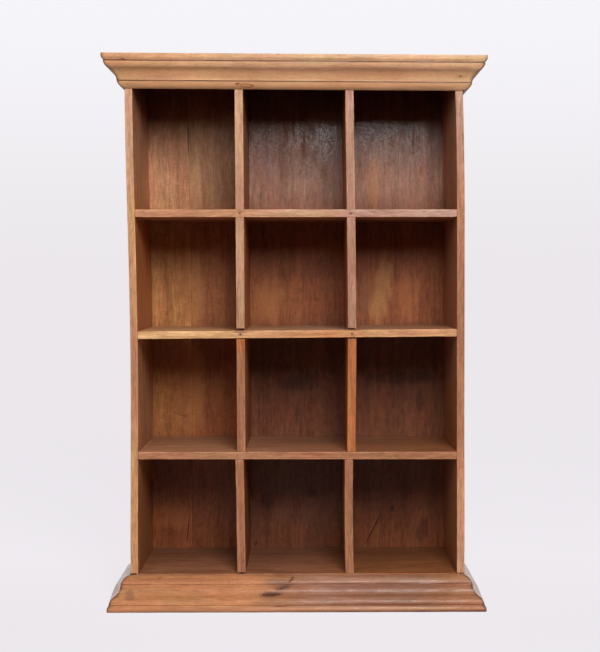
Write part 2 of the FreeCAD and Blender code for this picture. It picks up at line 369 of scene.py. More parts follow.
@dataclass(frozen=True)
class WoodFinish:
    """Waxed hardwood with streaks along the grain, pores, stains, rubbed arrises, soiling, painted shade and
    dark end grain.

    Attributes:
        name: Name of the material.
        grain: Direction of the grain.
        tones: Places along the grain in millimetres, each with the tone of the wood there.
        seed: Number that makes this board differ from the others.
        faces: Tones of the faces that don't look forward, or nothing where they are the same.
        marks: Knots, streaks, stains and cracks in the faces that look forward, and painted shadows, shade
            and highlights.
        wax: The coat of wax.
        contrast: Strength of the streaks.
        mottle: Strength of the small clouds.
        patina: Tone of the large clouds.
        roughness: Mean roughness under the wax.
        worn_below: Height in millimetres under which the wax is mostly worn away, or 0. With a height, only
            the faces that look forward are waxed.
        sawn: Depth of the saw marks across the grain, from 0 for a planed board.
        rubbed: How much paler the arrises are.
        inner_dirt: How much darker the faces are painted toward the back of the unit: painted shade.
    """

    name: str
    grain: Axis
    tones: Tones
    seed: float
    faces: Tones = ()
    marks: tuple[Mark, ...] = ()
    wax: Wax = Wax()
    contrast: float = 1.0
    mottle: float = 0.12
    patina: Tone = Tone.SIENNA
    roughness: float = 0.55
    worn_below: float = 0.0
    sawn: float = 0.0
    rubbed: float = 0.2
    inner_dirt: float = 0.0

    def build(self) -> bpy.types.Material:
        """Makes the material.

        Returns:
            The finished material.
        """
        material = new_material(self.name)
        WoodGraph(material.node_tree, self).paint()
        return material


class WoodGraph(Graph):
    """Graph of a wood finish, with the coordinates and masks that its steps share."""

    SEED_STEP = (137.0, 71.0, 211.0)
    FORWARD = (0.25, 0.7)

    WANDER_STRETCH = 0.3
    WANDER_SIZE = 45.0
    WANDER_REACH = 14.0

    BANDS = Layer(0.05, 15.0)
    STREAKS = Layer(0.07, 5.0)
    FIBRES = Layer(0.12, 2.1)
    PORES = Layer(0.16, 1.1, 1.0, (0.58, 0.70))
    CLOUDS = Layer(1.0, 11.0, 3.0)
    HUES = Layer(0.25, 22.0, 2.0, (0.35, 0.65))
    BAND_SHARE = 0.9
    STREAK_SHARE = 0.9
    FIBRE_SHARE = 1.1
    PORE_SHADE = 0.25
    DARK_TINT = (0.62, 0.52, 0.44, 1.0)
    LIGHT_TINT = (1.34, 1.42, 1.48, 1.0)
    PINK_TINT = (1.03, 0.97, 1.00, 1.0)
    GOLD_TINT = (0.98, 1.03, 0.98, 1.0)

    PATINA = Layer(0.4, 38.0, 3.0)
    PATINA_SHARE = 0.3
    PATINA_FADE = (0.47, 0.66)
    TONE_SHIFT = 50.0
    # Depths in millimetres over which the painted shade toward the back of the unit sets in.
    SHADED_DEPTHS = (-60, 70)

    RUBBING = Layer(0.25, 9.0, 2.0, (0.38, 0.62))
    SOILING_AND_SHADE_SHARE = 0.65
    RUBBED_SOILING_AND_SHADE = 0.3
    END_SHADE = 0.34
    END_FADE = (0.75, 0.95)

    FINE_EDGE = Layer(1.0, 2.2)
    BROAD_EDGE = Layer(0.3, 9.0, 3.0)
    BROAD_MARK = 6.0
    SUNK_TONES = (Tone.SOOT, Tone.COCOA)

    SAWING = Layer(4.0, 9.0)
    SAWN_RIDGES = (0.40, 0.56)
    RIDGE_SHARE = 0.35
    CRACKLE = Layer(0.7, 2.9, 1.0, (0.43, 0.55))
    SAWN_PATCHES = Layer(0.45, 16.0, 6.0, (0.32, 0.53))
    SCUFFS = Layer(0.7, 1.9, 6.0, (0.43, 0.58))
    PATCHES = Layer(0.5, 15.0, 6.0, (0.40, 0.60))
    WORN_FADE = (-60, 20)
    WORN_SHARE = 0.3

    CLOUD_ROUGHNESS = 0.14
    STREAK_ROUGHNESS = 0.10
    CUT_ROUGHNESS = 0.15
    SPECULAR = 0.22
    FIBRE_RELIEF = 0.5
    STREAK_RELIEF = 0.4
    PORE_RELIEF = 0.35
    CUT_RELIEF = 1.2
    RELIEF = 0.35
    RELIEF_HEIGHT = 0.5 * MM

    def __init__(self, tree: bpy.types.NodeTree, wood: WoodFinish) -> None:
        """Empties the tree and adds the shared coordinates.

        Args:
            tree: Node tree of the material.
            wood: The finish to paint.
        """
        super().__init__(tree)
        self.wood = wood
        self.here = self.millimetres()
        self.seeded = self.vector("ADD", self.here, [wood.seed * step for step in self.SEED_STEP])
        self.normal = self.node("ShaderNodeNewGeometry", output="Normal")
        self.forward = (self.part(self.normal, "Y") * -1).fade(*self.FORWARD)

    def paint(self) -> None:
        """Adds the streaked wood, its marks and relief, and the wax."""
        wood = self.wood
        bent = self._wander()
        bands, streaks, fibres, hues = (
            self._layer(bent, layer) for layer in (self.BANDS, self.STREAKS, self.FIBRES, self.HUES)
        )
        pores = self._layer(self.seeded, self.PORES)
        clouds = self._layer(self.seeded, self.CLOUDS)
        figure = (bands - 0.5) * self.BAND_SHARE + (streaks - 0.5) * self.STREAK_SHARE
        figure = 0.5 + wood.contrast * (figure + (fibres - 0.5) * self.FIBRE_SHARE)
        figure = figure + wood.mottle * 2 * (clouds - 0.5)
        light = self.mix(figure, self.DARK_TINT, self.LIGHT_TINT)
        tint = self.vector("MULTIPLY", light, self.mix(hues, self.PINK_TINT, self.GOLD_TINT))
        colour = self.scale(self.vector("MULTIPLY", self._body(), tint), 1 - self.PORE_SHADE * pores)
        colour, cut = self._draw_marks(colour)
        colour = self._end_grain(self._rub_and_darken(colour))
        relief = self.FIBRE_RELIEF * fibres + self.STREAK_RELIEF * streaks - self.PORE_RELIEF * pores
        relief = relief - self.CUT_RELIEF * cut
        roughness = self.CLOUD_ROUGHNESS * (clouds - 0.5) - self.STREAK_ROUGHNESS * (streaks - 0.5)
        sawing = None
        if wood.sawn:
            sawing = self._layer(self.seeded, self.SAWING)
            colour = self.scale(colour, 1 + wood.sawn * (sawing - 0.5))
            relief = relief + wood.sawn * sawing
        self.finish({
            "Base Color": colour,
            "Roughness": wood.roughness + roughness + self.CUT_ROUGHNESS * cut,
            "Normal": self.bump(self.RELIEF, self.RELIEF_HEIGHT, relief),
            "Specular IOR Level": self.SPECULAR,
            "Coat Weight": self._wax(sawing) * (1 - cut),
            "Coat Roughness": wood.wax.gloss,
        })

    def _layer(self, place: Flow, layer: Layer) -> Flow:
        """Draws one noise, stretched along the grain.

        Args:
            place: Coordinates in millimetres.
            layer: The noise.

        Returns:
            Its value.
        """
        stretched = self.vector("MULTIPLY", place, self.wood.grain.stretch(layer.stretch))
        value = self.cloud(stretched, layer.size, layer.detail)
        return value.fade(*layer.fade) if layer.fade else value

    def _wander(self) -> Flow:
        """Bends the coordinates a little, so that the grain isn't straight.

        Returns:
            The bent coordinates.
        """
        squeezed = self.vector("MULTIPLY", self.seeded, self.wood.grain.stretch(self.WANDER_STRETCH))
        wander = self.cloud(squeezed, self.WANDER_SIZE, 1.0, "Color")
        return self.vector("ADD", self.seeded, self.scale(wander, self.WANDER_REACH))

    def _body(self) -> Flow:
        """Body colour: the tones along the grain, darker inside the unit as painted shade, and clouded by the
        patina.

        Returns:
            The body colour.
        """
        wood = self.wood
        cloud = self._layer(self.seeded, self.PATINA)
        place = self.part(self.here, wood.grain.value[0]) + self.TONE_SHIFT * (cloud - 0.5)
        body = self._ramp(place, wood.tones)
        if wood.faces:
            # Painted shade: the faces that don't look forward darken toward the back of the unit.
            dirt = 1 - wood.inner_dirt * self.part(self.here, "Y").fade(*self.SHADED_DEPTHS)
            body = self.mix(self.forward, self.scale(self._ramp(place, wood.faces), dirt), body)
        return self.mix(self.PATINA_SHARE * cloud.fade(*self.PATINA_FADE), body, wood.patina.colour)

    def _ramp(self, place: Flow, tones: Tones) -> Flow:
        """Tones along the grain as a colour ramp.

        Args:
            place: Place along the grain.
            tones: Places and tones.

        Returns:
            The tone at the place.
        """
        first = tones[0][0]
        span = tones[-1][0] - first
        stops = [((at - first) / span, tone.colour) for at, tone in tones]
        return self.node("ShaderNodeValToRGB", {"stops": stops}, {"Fac": (place - first) / span})

    def _rub_and_darken(self, colour: Flow) -> Flow:
        """Pales the arrises where hands have rubbed them and darkens the places marked for soiling and
        painted shade.

        Args:
            colour: Colour so far.

        Returns:
            The colour with its arrises rubbed, and darkened by soiling and painted shade.
        """
        edge, grime = (
            self.node("ShaderNodeAttribute", {"attribute_name": name}, output="Fac")
            for name in ("edge", "grime")
        )
        patch = self._layer(self.seeded, self.RUBBING)
        rubbed = self.scale(colour, 1 + self.wood.rubbed * edge * patch)
        # Soiling and painted shade darken the quirks, mitres and foot of the mouldings toward umber.
        return self.mix(grime * (self.SOILING_AND_SHADE_SHARE + self.RUBBED_SOILING_AND_SHADE * patch), rubbed, Tone.UMBER.colour)

    def _end_grain(self, colour: Flow) -> Flow:
        """Darkens the faces that are cut across the grain."""
        across = abs(self.part(self.normal, self.wood.grain.value[0]))
        return self.scale(colour, 1 - self.END_SHADE * across.fade(*self.END_FADE))

    def _draw_marks(self, colour: Flow) -> tuple[Flow, Flow | float]:
        """Draws knots, streaks, stains and cracks, and the painted shadows, shade and highlights among the
        marks.

        Args:
            colour: Colour so far.

        Returns:
            The colour with its marks, and where they are sunk into the face.
        """
        cut: Flow | float = 0.0
        if not self.wood.marks:
            return colour, cut
        fine = self._layer(self.seeded, self.FINE_EDGE) - 0.5
        broad = self._layer(self.seeded, self.BROAD_EDGE) - 0.5
        right, height = self.part(self.here, "X"), self.part(self.here, "Z")
        for mark in self.wood.marks:
            across, up = right - mark.x, height - mark.z
            cosine, sine = math.cos(math.radians(mark.turn)), math.sin(math.radians(mark.turn))
            long = (across * cosine + up * sine) / mark.length
            short = (up * cosine - across * sine) / mark.width
            rag = broad if mark.width > self.BROAD_MARK else fine
            reach = long * long + short * short + 2 * mark.ragged * rag
            mask = mark.strength * self.forward * reach.fade(1.0, mark.core)
            colour = self.mix(mask, colour, mark.tone.colour)
            if mark.tone in self.SUNK_TONES:
                cut = self.maths("MAXIMUM", cut, mask)
        return colour, cut

    def _wax(self, sawing: Flow | None) -> Flow:
        """Weight of the wax, scuffed and worn off in patches.

        Args:
            sawing: Saw marks, which keep the wax on their ridges, or None on a planed board.

        Returns:
            The weight.
        """
        wax = self.wood.wax
        if sawing:
            crackle = self._layer(self.seeded, self.CRACKLE)
            scuffs = self.RIDGE_SHARE * sawing.fade(*self.SAWN_RIDGES) + (1 - self.RIDGE_SHARE) * crackle
            patches = self._layer(self.seeded, self.SAWN_PATCHES)
        else:
            scuffs = self._layer(self.seeded, self.SCUFFS)
            patches = self._layer(self.seeded, self.PATCHES)
        kept = (1 - wax.scuffed + wax.scuffed * scuffs) * (1 - wax.scuffed * (1 - patches))
        if self.wood.worn_below:
            worn = self.part(self.here, "Z").fade(*(self.wood.worn_below + step for step in self.WORN_FADE))
            kept = kept * self.forward * (self.WORN_SHARE + (1 - self.WORN_SHARE) * worn)
        return wax.polish * kept


@dataclass(frozen=True)
class IronFinish:
    """Old iron of nails and pins: dark, with brown rust.

    Attributes:
        name: Name of the material.
        dark: Colour of the bare iron.
        rust: Colour of the rust.
        rust_size: Width of the rust patches in millimetres.
        pit_size: Width of the pits in millimetres.
    """

    name: str = "nail iron"
    dark: tuple[int, int, int] = (104, 70, 52)
    rust: tuple[int, int, int] = (150, 100, 72)
    rust_size: float = 1.6
    pit_size: float = 0.4

    RUST_FADE = (0.40, 0.62)
    METAL = 0.7
    METAL_LOST = 0.6
    ROUGHNESS = 0.45
    RUST_ROUGHNESS = 0.35
    RELIEF = 0.5
    RELIEF_HEIGHT = 0.2 * MM

    def build(self) -> bpy.types.Material:
        """Makes the material.

        Returns:
            The finished material.
        """
        material = new_material(self.name)
        graph = Graph(material.node_tree)
        here = graph.millimetres()
        rust = graph.cloud(here, self.rust_size, 4.0).fade(*self.RUST_FADE)
        pits = graph.cloud(here, self.pit_size)
        graph.finish({
            "Base Color": graph.mix(rust, linear(self.dark), linear(self.rust)),
            "Metallic": self.METAL - self.METAL_LOST * rust,
            "Roughness": self.ROUGHNESS + self.RUST_ROUGHNESS * rust,
            "Normal": graph.bump(self.RELIEF, self.RELIEF_HEIGHT, pits + rust),
        })
        return material


# ---- Shapes -----------------------------------------------------------------------------------------------


@dataclass(frozen=True)
class Wear:
    """A place where an arris is worn or chipped.

    Attributes:
        corner: Number of the arris, counter-clockwise round the section from its lowest corner.
        place: Place along the grain in metres.
        reach: Half length of the worn stretch in metres.
        depth: Extra radius there in metres.
    """

    corner: int
    place: float
    reach: float
    depth: float


@dataclass(frozen=True)
class Settling:
    """How far the joints of the old carcase have moved, so that its boards bow and lean a little.

    Attributes:
        columns: Places across the unit where the shifts are known: sides and dividers, in metres.
        levels: Heights where the shifts are known: floor, shelves and cornice, in metres.
        sideways: Shift to the right at each level and column, in millimetres.
        upward: Shift upward at each level for the two sides, in millimetres.
    """

    columns: tuple[float, ...] = (-0.264, -0.0895, 0.0895, 0.264)
    levels: tuple[float, ...] = (0.0545, 0.246, 0.442, 0.636, 0.830)
    sideways: tuple[tuple[float, ...], ...] = (
        (1.7, 1.3, 0.7, 1.5),
        (3.5, 1.6, -0.3, 1.4),
        (4.5, 1.5, 1.4, 1.2),
        (1.9, 1.4, 0.3, 1.2),
        (-0.4, 0.9, -1.9, -2.3),
    )
    upward: tuple[tuple[float, float], ...] = ((0.0, 0.0), (1.2, -0.4), (0.5, -0.3), (-0.3, -2.5), (0.0, 0.0))

    def move(self, points: np.ndarray) -> np.ndarray:
        """Moves points of the square carcase to where they are now.

        Args:
            points: Rows of X, Y and Z in metres.

        Returns:
            The moved points.
        """
        moved = points.copy()
        column = np.interp(points[:, 0], self.columns, range(len(self.columns)))
        moved[:, 0] += MM * self._between(column, self._curves(points[:, 2]))
        side = np.interp(points[:, 0], (self.columns[0], self.columns[-1]), (0, 1))
        level = np.interp(points[:, 2], self.levels, range(len(self.levels)))
        left, right = (
            self._between(level, np.outer(rises, np.ones(len(points)))) for rises in zip(*self.upward)
        )
        moved[:, 2] += MM * ((1 - side) * left + side * right)
        return moved

    def _curves(self, heights: np.ndarray) -> np.ndarray:
        """Sideways shift of each column, as a smooth curve through the levels.

        Args:
            heights: Heights of the points.

        Returns:
            One row of shifts for each column.
        """
        within = np.clip(heights, self.levels[0], self.levels[-1])
        fits = [np.polyfit(self.levels, shifts, len(self.levels) - 1) for shifts in zip(*self.sideways)]
        return np.array([np.polyval(fit, within) for fit in fits])

    @staticmethod
    def _between(index: np.ndarray, rows: np.ndarray) -> np.ndarray:
        """Reads rows at fractional row numbers.

        Args:
            index: Fractional row number of each point.
            rows: Values by row and point.

        Returns:
            The value of each point.
        """
        low = np.clip(index.astype(int), 0, len(rows) - 2)
        share = index - low
        points = np.arange(len(index))
        return (1 - share) * rows[low, points] + share * rows[low + 1, points]


def link(thing: bpy.types.Object) -> bpy.types.Object:
    """Adds an object to the scene and returns it."""
    bpy.context.scene.collection.objects.link(thing)
    return thing


def make_object(name: str, points: np.ndarray, faces: Sequence[Sequence[int]]) -> bpy.types.Object:
    """Makes a mesh object with outward normals and links it to the scene.

    Args:
        name: Name of the piece.
        points: Rows of X, Y and Z in metres.
        faces: Point numbers of each face.

    Returns:
        The new object, at the origin.
    """
    mesh = bpy.data.meshes.new(name)
    mesh.from_pydata(points.tolist(), [], faces)
    piece = link(bpy.data.objects.new(name, mesh))
    work = bmesh.new()
    work.from_mesh(mesh)
    bmesh.ops.triangulate(work, faces=[face for face in work.faces if len(face.verts) > 4])
    bmesh.ops.recalc_face_normals(work, faces=work.faces)
    work.to_mesh(mesh)
    work.free()
    return piece


def loft(rings: np.ndarray) -> tuple[np.ndarray, list[list[int]]]:
    """Skins closed rings one after another and closes both ends.

    Args:
        rings: Points by ring, by place on the ring and by axis.

    Returns:
        The points and the faces.
    """
    count, size = rings.shape[:2]
    faces = [list(range(size))[::-1], [(count - 1) * size + index for index in range(size)]]
    for ring in range(count - 1):
        for index in range(size):
            after = (index + 1) % size
            low, high = ring * size, (ring + 1) * size
            faces.append([low + index, low + after, high + after, high + index])
    return rings.reshape(-1, 3), faces


def finish_mesh(piece: bpy.types.Object, sharp_degrees: float) -> None:
    """Smooths the shading of a piece, but keeps its sharp edges hard.

    Args:
        piece: The piece.
        sharp_degrees: Turn of the surface from which an edge is hard.
    """
    mesh = piece.data
    mesh.polygons.foreach_set("use_smooth", [True] * len(mesh.polygons))
    mesh.set_sharp_from_angle(angle=math.radians(sharp_degrees))
    mesh.update()


def points_of(mesh: bpy.types.Mesh) -> np.ndarray:
    """Reads the points of a mesh.

    Args:
        mesh: Mesh of a piece.

    Returns:
        Rows of X, Y and Z.
    """
    flat = np.zeros(len(mesh.vertices) * 3)
    mesh.vertices.foreach_get("co", flat)
    return flat.reshape(-1, 3)


def set_points(mesh: bpy.types.Mesh, points: np.ndarray) -> None:
    """Writes the points of a mesh back."""
    mesh.vertices.foreach_set("co", points.ravel())
    mesh.update()


def store(mesh: bpy.types.Mesh, name: str, shares: np.ndarray) -> None:
    """Stores a share from 0 to 1 at each point under a name: how much it is rubbed, or how much soiling and
    painted shade darken it.
    """
    mesh.attributes.new(name, "FLOAT", "POINT").data.foreach_set("value", shares.astype(np.float32))


def dress(piece: bpy.types.Object, material: bpy.types.Material, node: str) -> None:
    """Gives a piece its finish and tells the frame what it stands for.

    Args:
        piece: The new piece.
        material: Its finish.
        node: Construction node that it replaces.
    """
    piece.data.materials.clear()
    piece.data.materials.append(material)
    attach(piece, BODY)
    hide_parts(node)
    LOG.info("%s: %d faces", piece.name, len(piece.data.polygons))


@dataclass
class Board:
    """A hand-worked board, lofted along its grain, with worn arrises and faces that are not quite flat.

    Attributes:
        name: Name of the piece.
        low: Lowest corner of the square board in metres.
        high: Highest corner of the square board in metres.
        grain: Direction of the grain.
        seed: Number that makes this board differ from the others.
        skew: Offset of the far end from the near end, for a board that is cut out of square.
        arris: Usual radius of the arrises.
        hollow: Greatest depth of the unevenness of the faces.
        nicks: Number of small nicks along each front arris.
        true_faces: Section axes whose faces stay flat, because another board touches them.
        cuts: Lowest and highest corners of the notches and slots.
    """

    name: str
    low: Vector
    high: Vector
    grain: Axis
    seed: float
    skew: Vector = field(default_factory=Vector)
    arris: float = 0.9 * MM
    hollow: float = 0.22 * MM
    nicks: int = 9
    true_faces: tuple[int, ...] = ()
    cuts: tuple[tuple[Vector, Vector], ...] = ()

    ARC_STEPS = 4
    STATION_STEP = 10 * MM
    STATION_GAP = 0.8 * MM
    FACE_STEP = 20 * MM
    FACE_MARGIN = 2.2 * MM
    FACE_WAVES = (14, 7)
    FACE_STEPS = (5.1, 2.3)
    FACE_SWING = 0.8
    SETBACK = 0.08 * MM
    NICK_REACH = (2, 9)
    NICK_DEPTH = (0.2, 1.0)
    NICK_FALL = 2.5
    ARRIS_WAVES = 30
    ARRIS_STEP = 3.7
    ARRIS_SPREAD = 0.55
    SHARP_DEGREES = 38.0

    def build(self, settling: Settling) -> bpy.types.Object:
        """Makes the board.

        Args:
            settling: Movement of the carcase.

        Returns:
            The board as an object.
        """
        wear = self._nicks()
        rings = np.array([self._ring(at, inset, wear) for at, inset in self._stations(wear)])
        piece = make_object(self.name, *loft(rings))
        for low, high in self.cuts:
            self._cut(piece, low, high)
        points = points_of(piece.data)
        store(piece.data, "edge", self._edge_shares(points))
        along = self.grain.value[0]
        share = (points[:, along] - self.low[along]) / (self.high[along] - self.low[along]) - 0.5
        points += share[:, None] * np.array(self.skew)
        set_points(piece.data, settling.move(points))
        finish_mesh(piece, self.SHARP_DEGREES)
        return piece

    def _nicks(self) -> list[Wear]:
        """Small nicks at chance places along the two front arrises.

        Returns:
            The nicks.
        """
        chance = random.Random(self.seed)
        along = self.grain.value[0]
        depth_axis = self.grain.value.index(1) - 1
        return [
            Wear(
                corner,
                chance.uniform(self.low[along], self.high[along]),
                chance.uniform(*self.NICK_REACH) * MM,
                chance.uniform(*self.NICK_DEPTH) * MM,
            )
            for corner in range(4)
            if self._corner_sign(corner)[depth_axis] < 0
            for _ in range(self.nicks)
        ]

    @staticmethod
    def _corner_sign(corner: int) -> tuple[int, int]:
        """Which way a corner of the section lies from the middle, along each section axis."""
        return ((-1, -1), (1, -1), (1, 1), (-1, 1))[corner]

    def _stations(self, wear: Sequence[Wear]) -> list[tuple[float, float]]:
        """Places along the grain where the section is drawn, each with the inset of its rounded end.

        Args:
            wear: Worn places, which get more stations.

        Returns:
            Place and inset of each station, from the near end to the far end.
        """
        along = self.grain.value[0]
        start, end = self.low[along], self.high[along]
        ends = []
        for step in range(self.ARC_STEPS):
            angle = math.radians(90 * step / (self.ARC_STEPS - 1))
            ends.append((self.arris * (1 - math.cos(angle)), self.arris * (1 - math.sin(angle))))
        count = max(round((end - start) / self.STATION_STEP), 2)
        inner = {start + (end - start) * index / count for index in range(1, count)}
        for item in wear:
            inner.update(item.place + item.reach * share for share in (-1.0, -0.5, 0.0, 0.5, 1.0))
        clear = 1.5 * self.arris
        kept: list[float] = []
        for place in sorted(inner):
            spaced = not kept or place - kept[-1] > self.STATION_GAP
            if start + clear < place < end - clear and spaced:
                kept.append(place)
        near = [(start + offset, inset) for offset, inset in ends]
        far = [(end - offset, inset) for offset, inset in reversed(ends)]
        return [*near, *((place, 0.0) for place in kept), *far]

    def _ring(self, at: float, inset: float, wear: Sequence[Wear]) -> list[list[float]]:
        """Section at one station.

        Args:
            at: Place along the grain.
            inset: How far the section is drawn in there.
            wear: Worn places.

        Returns:
            Its points, counter-clockwise about the grain.
        """
        along, first, second = self.grain.value
        lows = (self.low[first], self.low[second])
        highs = (self.high[first], self.high[second])
        radii = [self._radius(corner, at, wear) for corner in range(4)]
        ring = []
        for corner in range(4):
            sign = self._corner_sign(corner)
            centre = [highs[k] - radii[corner] if sign[k] > 0 else lows[k] + radii[corner] for k in (0, 1)]
            for step in range(self.ARC_STEPS + 1):
                angle = math.radians(180 + 90 * corner + 90 * step / self.ARC_STEPS)
                turn = (math.cos(angle), math.sin(angle))
                ring.append(([centre[k] + radii[corner] * turn[k] for k in (0, 1)], sign))
            ring.extend(self._side(corner, radii, lows, highs))
        points = []
        for flat, sign in ring:
            point = [0.0, 0.0, 0.0]
            point[along] = at
            for k, axis in enumerate((first, second)):
                point[axis] = flat[k] - sign[k] * (inset + self._dip(k, sign[k], flat[1 - k], at))
            points.append(point)
        return points

    def _side(
        self, corner: int, radii: Sequence[float], lows: Sequence[float], highs: Sequence[float]
    ) -> list[tuple[list[float], tuple[int, int]]]:
        """Points of the flat face that follows a corner.

        Args:
            corner: Number of the corner.
            radii: Radius of each corner.
            lows: Lowest places of the section.
            highs: Highest places of the section.

        Returns:
            Each point of the section with the way its face looks.
        """
        run = corner % 2
        fixed = 1 - run
        forward = corner < 2
        length = highs[run] - lows[run]
        margin = min(max(radii[corner], radii[(corner + 1) % 4]) + self.FACE_MARGIN, 0.4 * length)
        count = max(round((length - 2 * margin) / self.FACE_STEP), 1)
        sign = [0, 0]
        sign[fixed] = -1 if corner in (0, 3) else 1
        level = highs[fixed] if sign[fixed] > 0 else lows[fixed]
        points = []
        for index in range(count + 1):
            travel = margin + (length - 2 * margin) * index / count
            flat = [0.0, 0.0]
            flat[run] = lows[run] + travel if forward else highs[run] - travel
            flat[fixed] = level
            points.append((flat, (sign[0], sign[1])))
        return points

    def _radius(self, corner: int, at: float, wear: Sequence[Wear]) -> float:
        """Radius of an arris at one place along the grain.

        Args:
            corner: Number of the arris.
            at: Place along the grain.
            wear: Worn places.

        Returns:
            The radius in metres.
        """
        wave = noise.noise(Vector((at * self.ARRIS_WAVES, corner * self.ARRIS_STEP, self.seed)))
        radius = self.arris * (1 + self.ARRIS_SPREAD * wave)
        for item in wear:
            if item.corner == corner:
                away = (at - item.place) / item.reach
                radius += item.depth * math.exp(-self.NICK_FALL * away * away)
        return radius

    def _dip(self, axis: int, side: int, across: float, at: float) -> float:
        """How deep the unevenness of a face is at one place.

        Args:
            axis: Section axis that the face looks along.
            side: Which of the two faces it is, or 0 for none.
            across: Place across the face.
            at: Place along the grain.

        Returns:
            Depth below the flat face in metres.
        """
        if side == 0 or axis in self.true_faces:
            return 0.0
        face = self.seed + self.FACE_STEPS[0] * axis + self.FACE_STEPS[1] * side
        wave = noise.noise(Vector((across * self.FACE_WAVES[0], at * self.FACE_WAVES[1], face)))
        return self.SETBACK + self.hollow * min(max(0.5 + self.FACE_SWING * wave, 0.0), 1.0)

    def _edge_shares(self, points: np.ndarray) -> np.ndarray:
        """How much each point lies on an arris.

        Args:
            points: Points of the square board.

        Returns:
            0 on flat faces and 1 on arrises.
        """
        gaps = np.minimum(points - np.array(self.low), np.array(self.high) - points)
        second = np.sort(gaps, axis=1)[:, 1]
        return np.clip(1 - (second - self.arris) / self.FACE_MARGIN, 0, 1)

    @staticmethod
    def _cut(piece: bpy.types.Object, low: Vector, high: Vector) -> None:
        """Cuts one notch or slot out of the board.

        Args:
            piece: The board.
            low: Lowest corner of the notch.
            high: Highest corner of the notch.
        """
        work = bmesh.new()
        block = Matrix.Translation((low + high) / 2) @ Matrix.Diagonal((high - low).to_4d())
        bmesh.ops.create_cube(work, size=1.0, matrix=block)
        mesh = bpy.data.meshes.new("cutter")
        work.to_mesh(mesh)
        work.free()
        cutter = link(bpy.data.objects.new("cutter", mesh))
        modifier = piece.modifiers.new("cut", "BOOLEAN")
        modifier.object = cutter
        modifier.solver = "EXACT"
        bpy.context.view_layer.update()
        shaped = piece.evaluated_get(bpy.context.evaluated_depsgraph_get())
        uncut = piece.data
        piece.data = bpy.data.meshes.new_from_object(shaped)
        piece.modifiers.clear()
        piece.data.name = piece.name
        bpy.data.meshes.remove(uncut)
        bpy.data.objects.remove(cutter)
        bpy.data.meshes.remove(mesh)


Pair = Sequence[float]


class SectionPoint(NamedTuple):
    """Point of the section of a moulding.

    Attributes:
        out: Distance out from the carcase in millimetres.
        down: Distance from the wide edge in millimetres.
        worn: Share of wear.
        soiled_and_shaded: Whether soiling and painted shade sit there.
    """

    out: float
    down: float
    worn: float = 0.0
    soiled_and_shaded: bool = False


